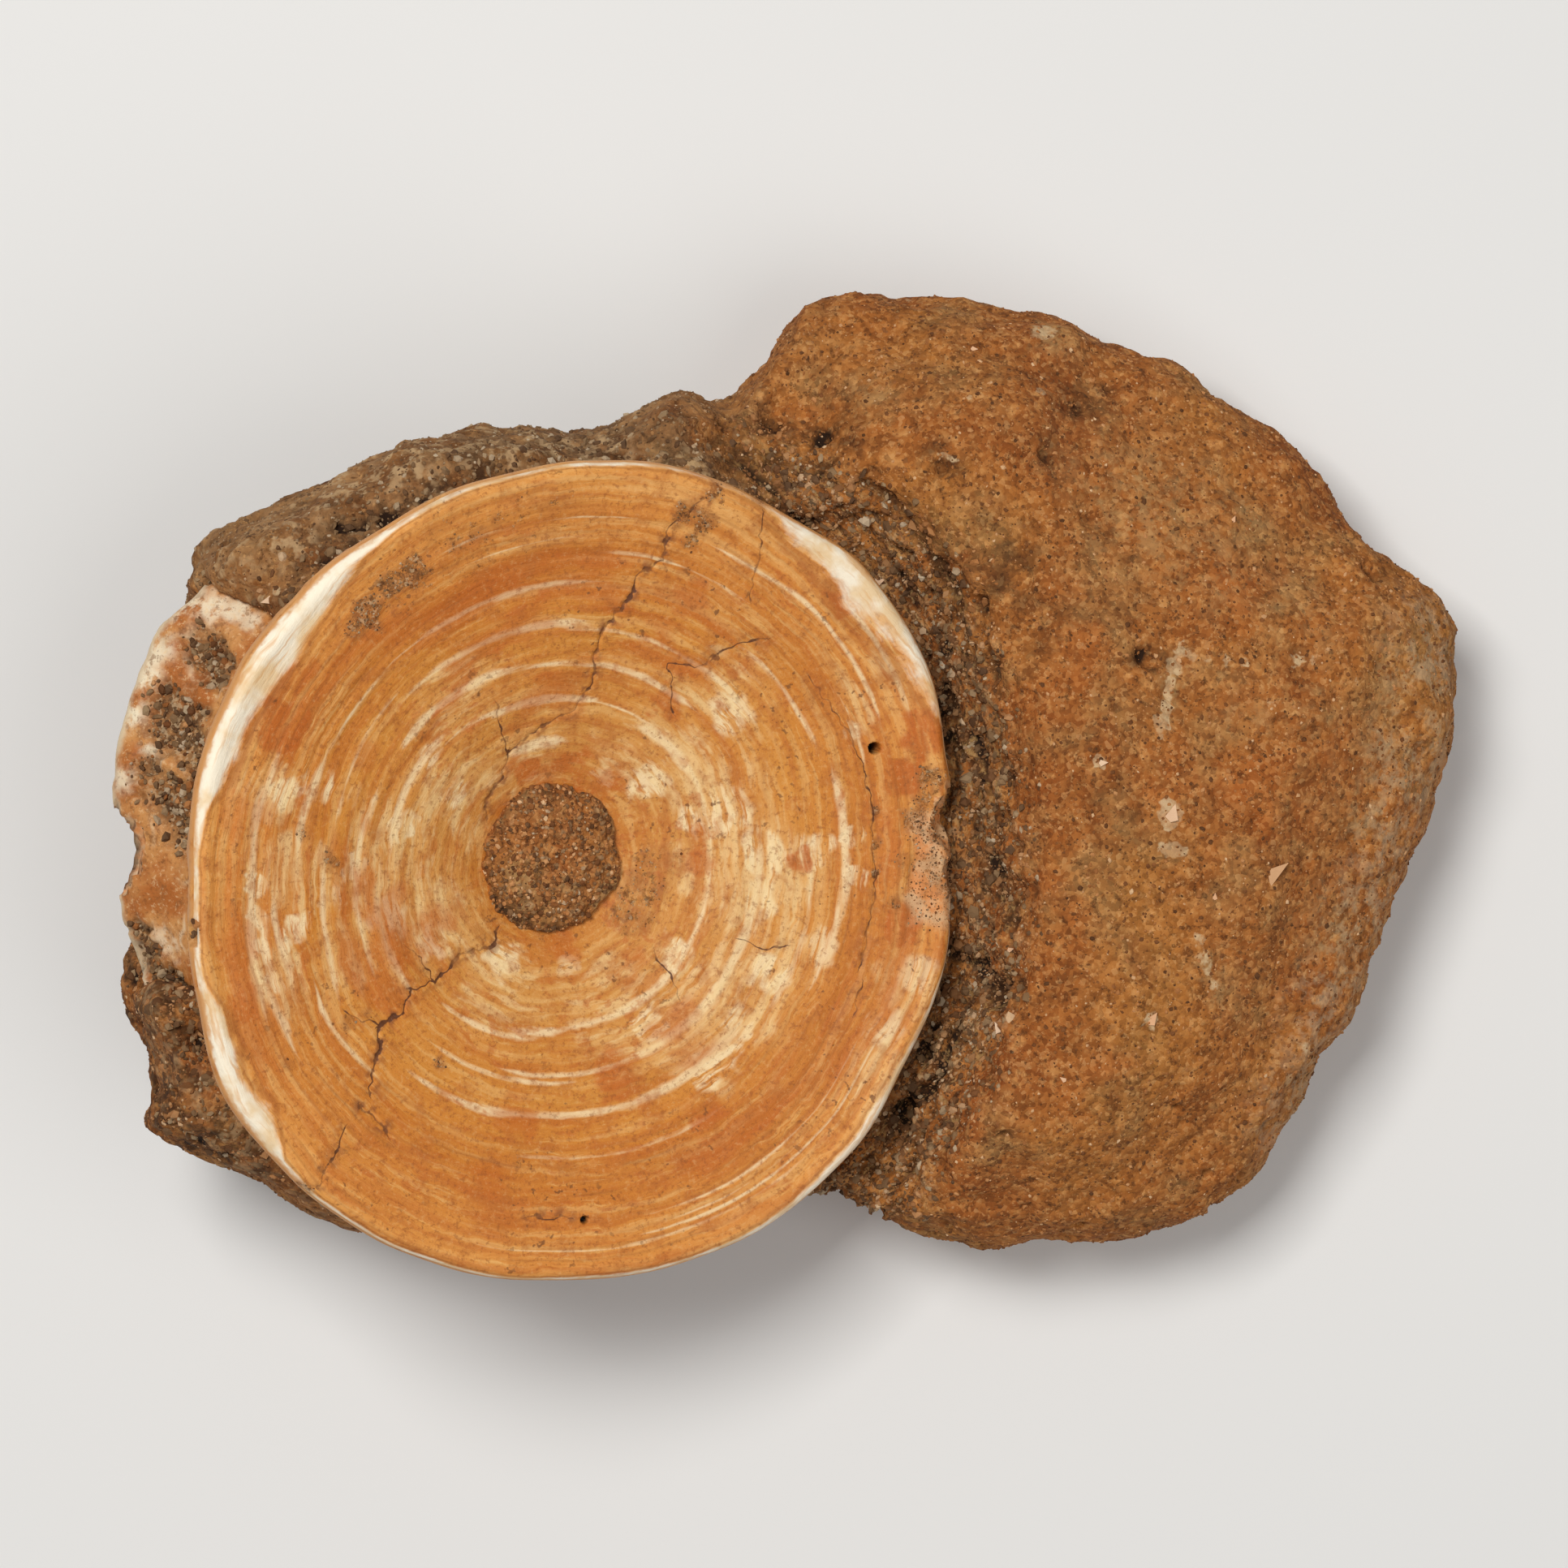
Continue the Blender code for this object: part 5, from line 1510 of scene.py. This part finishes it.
    # Thin dark lines in the grooves of the growth rings, and specks
    table = [(0.0, 0.0)]
    for middle, level in GROOVES:
        table += [(middle - 0.006, 0.0), (middle, level), (middle + 0.004, 0.0)]
    lines = stops(tree, ring_value, table)
    lines = times(tree, lines, soft(tree, 0.46, 0.60, streak(1.6, 14.0)))
    colour = tint(tree, colour, lines, 0.5, (140, 80, 34))

    specks = soft(tree, 0.63, 0.70, cloud(tree, place, 1150.0, 2.0, 0.6))
    specks = times(tree, specks, soft(tree, 0.46, 0.62, cloud(tree, place, 110.0, 3.0)))
    colour = tint(tree, colour, specks, 0.75, (112, 68, 34))

    # The ivory band, feathered along the rings, and the worn lip
    edges = split(tree, stored(tree, "edges", "Vector"))
    edge_noise = sums(tree, "SUBTRACT", cloud(tree, place, 500.0, 4.0, 0.6), 0.5)
    feather = sums(tree, "SUBTRACT", streak(5.0, 26.0, 4.0, 0.65), 0.5)
    band = plus(tree, edges[0], times(tree, edge_noise, 0.8))
    band = plus(tree, band, times(tree, feather, 2.2))
    ivory_mask = soft(tree, 0.50, -0.40, band)
    ivory = blend(tree, soft(tree, 0.42, 0.64, cloud(tree, place, 260.0, 3.0)), paint(246, 232, 206),
                  paint(232, 200, 154))
    ivory = tint(tree, ivory, soft(tree, 0.50, 0.66, streak(5.0, 60.0)), 0.6, (216, 158, 92))
    rimline = times(tree, soft(tree, 1.3, 0.8, band), soft(tree, 0.3, 0.6, band))
    colour = tint(tree, colour, rimline, 0.4, (150, 84, 34))
    colour = blend(tree, ivory_mask, colour, ivory)
    lip = times(tree, soft(tree, -0.35, -0.75, plus(tree, drop, times(tree, edge_noise, 1.4))),
                soft(tree, 0.975, 0.99, ring_here))
    lip = times(tree, lip, soft(tree, 0.36, 0.52, cloud(tree, place, 330.0, 3.0)))
    colour = tint(tree, colour, lip, 0.85, (212, 150, 88))

    # The bare wall below the rim, with pale veins, and broken rims
    low_on_wall = soft(tree, -2.2, -4.0, plus(tree, drop, times(tree, edge_noise, 3.0)))
    wall_patch = blend(tree, soft(tree, 0.40, 0.60, cloud(tree, place, 180.0, 4.0, 0.6)),
                       paint(178, 104, 46), paint(206, 144, 82))
    veins = sums(tree, "SUBTRACT", cloud(tree, place, 150.0, 2.0), 0.5)
    veins = soft(tree, 0.035, 0.0, sums(tree, "ABSOLUTE", veins, None))
    veins = times(tree, veins, soft(tree, 0.52, 0.62, cloud(tree, place, 90.0, 2.0)))
    wall_patch = tint(tree, wall_patch, veins, 0.6, (232, 206, 168))
    wall_patch = blend(tree, times(tree, stored(tree, "pale_wall"), soft(tree, 0.36, 0.52, mottle)),
                       wall_patch, paint(244, 226, 192))
    rub = soft(tree, 0.54, 0.64, cloud(tree, place, 700.0, 4.0, 0.7))
    wall_patch = tint(tree, wall_patch, rub, 0.6, (138, 88, 46))
    wall_patch = tint(tree, wall_patch, soft(tree, 0.46, 0.34, dust), 0.5, (238, 200, 148))
    wall_patch = tint(tree, wall_patch, soft(tree, 0.54, 0.66, dust), 0.5, (124, 72, 34))
    back_lip = soft(tree, -22.0, -23.2, plus(tree, drop, times(tree, edge_noise, 2.0)))
    wall_patch = blend(tree, back_lip, wall_patch, paint(222, 196, 158))
    wall_mask = times(tree, edges[1], low_on_wall)
    colour = blend(tree, wall_mask, colour, wall_patch)
    broken_face = blend(tree, soft(tree, 0.4, 0.6, mottle), paint(214, 138, 80), paint(212, 172, 128))
    broken_face = tint(tree, broken_face, soft(tree, 0.54, 0.66, dust), 0.6, (140, 90, 52))
    colour = blend(tree, times(tree, edges[2], 0.8), colour, broken_face)

    # Crusts of sediment, ragged at the edge, and the brown stain round them
    dirt_grey = plus(tree, 0.3, times(tree, stored(tree, "grit"), 0.6))
    pores = soft(tree, 0.53, 0.40, cloud(tree, place, 900.0, 4.0, 0.7))
    sand, sand_height = sediment(tree, place, times(tree, pores, 0.65), dirt_grey)
    bits = soft(tree, 0.54, 0.62, cloud(tree, place, 1700.0, 2.0))
    sand = tint(tree, sand, bits, 0.55, (202, 172, 132))
    ragged = sums(tree, "SUBTRACT", cloud(tree, place, 1300.0, 4.0, 0.75), 0.5)
    ragged = plus(tree, times(tree, ragged, 2.6), marks[0])
    dirt_mask = times(tree, soft(tree, 0.55, 0.95, ragged), soft(tree, 0.03, 0.3, marks[0]))
    dirt_mask = times(tree, dirt_mask, 0.85)
    blots = soft(tree, 0.40, 0.60, cloud(tree, place, 620.0, 3.0, 0.6))
    smudge = times(tree, soft(tree, 0.1, 0.7, marks[0]), plus(tree, 0.26, times(tree, blots, 0.36)))
    colour = blend(tree, smudge, colour, paint(158, 96, 46))
    dirt_mask = sums(tree, "MAXIMUM", dirt_mask, stored(tree, "grit"))
    colour = blend(tree, dirt_mask, colour, sand)

    # Cracks with a stained halo, and painted shadow in the pinhole and the pit
    crack = split(tree, stored(tree, "crack", "Vector"))
    gap_here = sums(tree, "ABSOLUTE", crack[0], None)
    beads = cloud(tree, place, 900.0, 2.0)
    opening = plus(tree, 0.12, times(tree, soft(tree, 0.44, 0.66, beads), 0.8))
    half_width = times(tree, crack[1], opening)
    line = soft(tree, 0.07, 0.0, sums(tree, "SUBTRACT", gap_here, half_width))
    near = soft(tree, 0.75, 0.35, crack[2])
    halo = times(tree, soft(tree, 1.3, 0.1, crack[2]), soft(tree, 0.45, 0.65, beads))
    halo = times(tree, halo, times(tree, crack[1], 3.2), clamp=True)
    colour = blend(tree, halo, colour, paint(138, 80, 40))
    strength = soft(tree, 0.42, 0.58, cloud(tree, place, 380.0, 3.0))
    line = times(tree, line, plus(tree, 0.4, times(tree, strength, 0.55)))
    colour = blend(tree, times(tree, line, near), colour, paint(92, 52, 28))
    # Painted shadow: the pinhole and the pit are painted near-black.
    colour = blend(tree, stored(tree, "holes"), colour, paint(10, 6, 4))
    fill(tree, shader.inputs["Base Color"], colour)
    shader.inputs["Specular IOR Level"].default_value = 0.25
    gloss = plus(tree, 0.42, times(tree, mottle, 0.22))
    gloss = plus(tree, gloss, times(tree, dirt_mask, 0.35), clamp=True)
    fill(tree, shader.inputs["Roughness"], gloss)
    height = plus(tree, times(tree, fine, 0.7), times(tree, mottle, 0.5))
    height = plus(tree, height, times(tree, dust, 0.35))
    height = plus(tree, height, times(tree, sand_height, dirt_mask))
    bump(tree, shader, height, 0.14)
    return made


bone.data.materials.append(bone_material())
print("nodes in the fossil bone:", len(bone.data.materials[0].node_tree.nodes))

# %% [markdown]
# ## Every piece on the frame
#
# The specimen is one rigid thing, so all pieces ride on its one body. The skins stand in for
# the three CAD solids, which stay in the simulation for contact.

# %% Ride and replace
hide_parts("vertebra")
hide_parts("stone")
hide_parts("sediment_plug")
for piece, finish in [(bone, "bone"), (stone, "stone"), (plug, "sediment"), (heap_grains, "sediment"),
                      (bone_grains, "sediment"), (wall_crumbs, "sediment"), (stone_crumbs, "stone"),
                      (shards, "stone"), *((piece, "stone") for piece in grain_pieces)]:
    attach(piece, "root")
print("pieces on the body root:", 8 + len(grain_pieces))
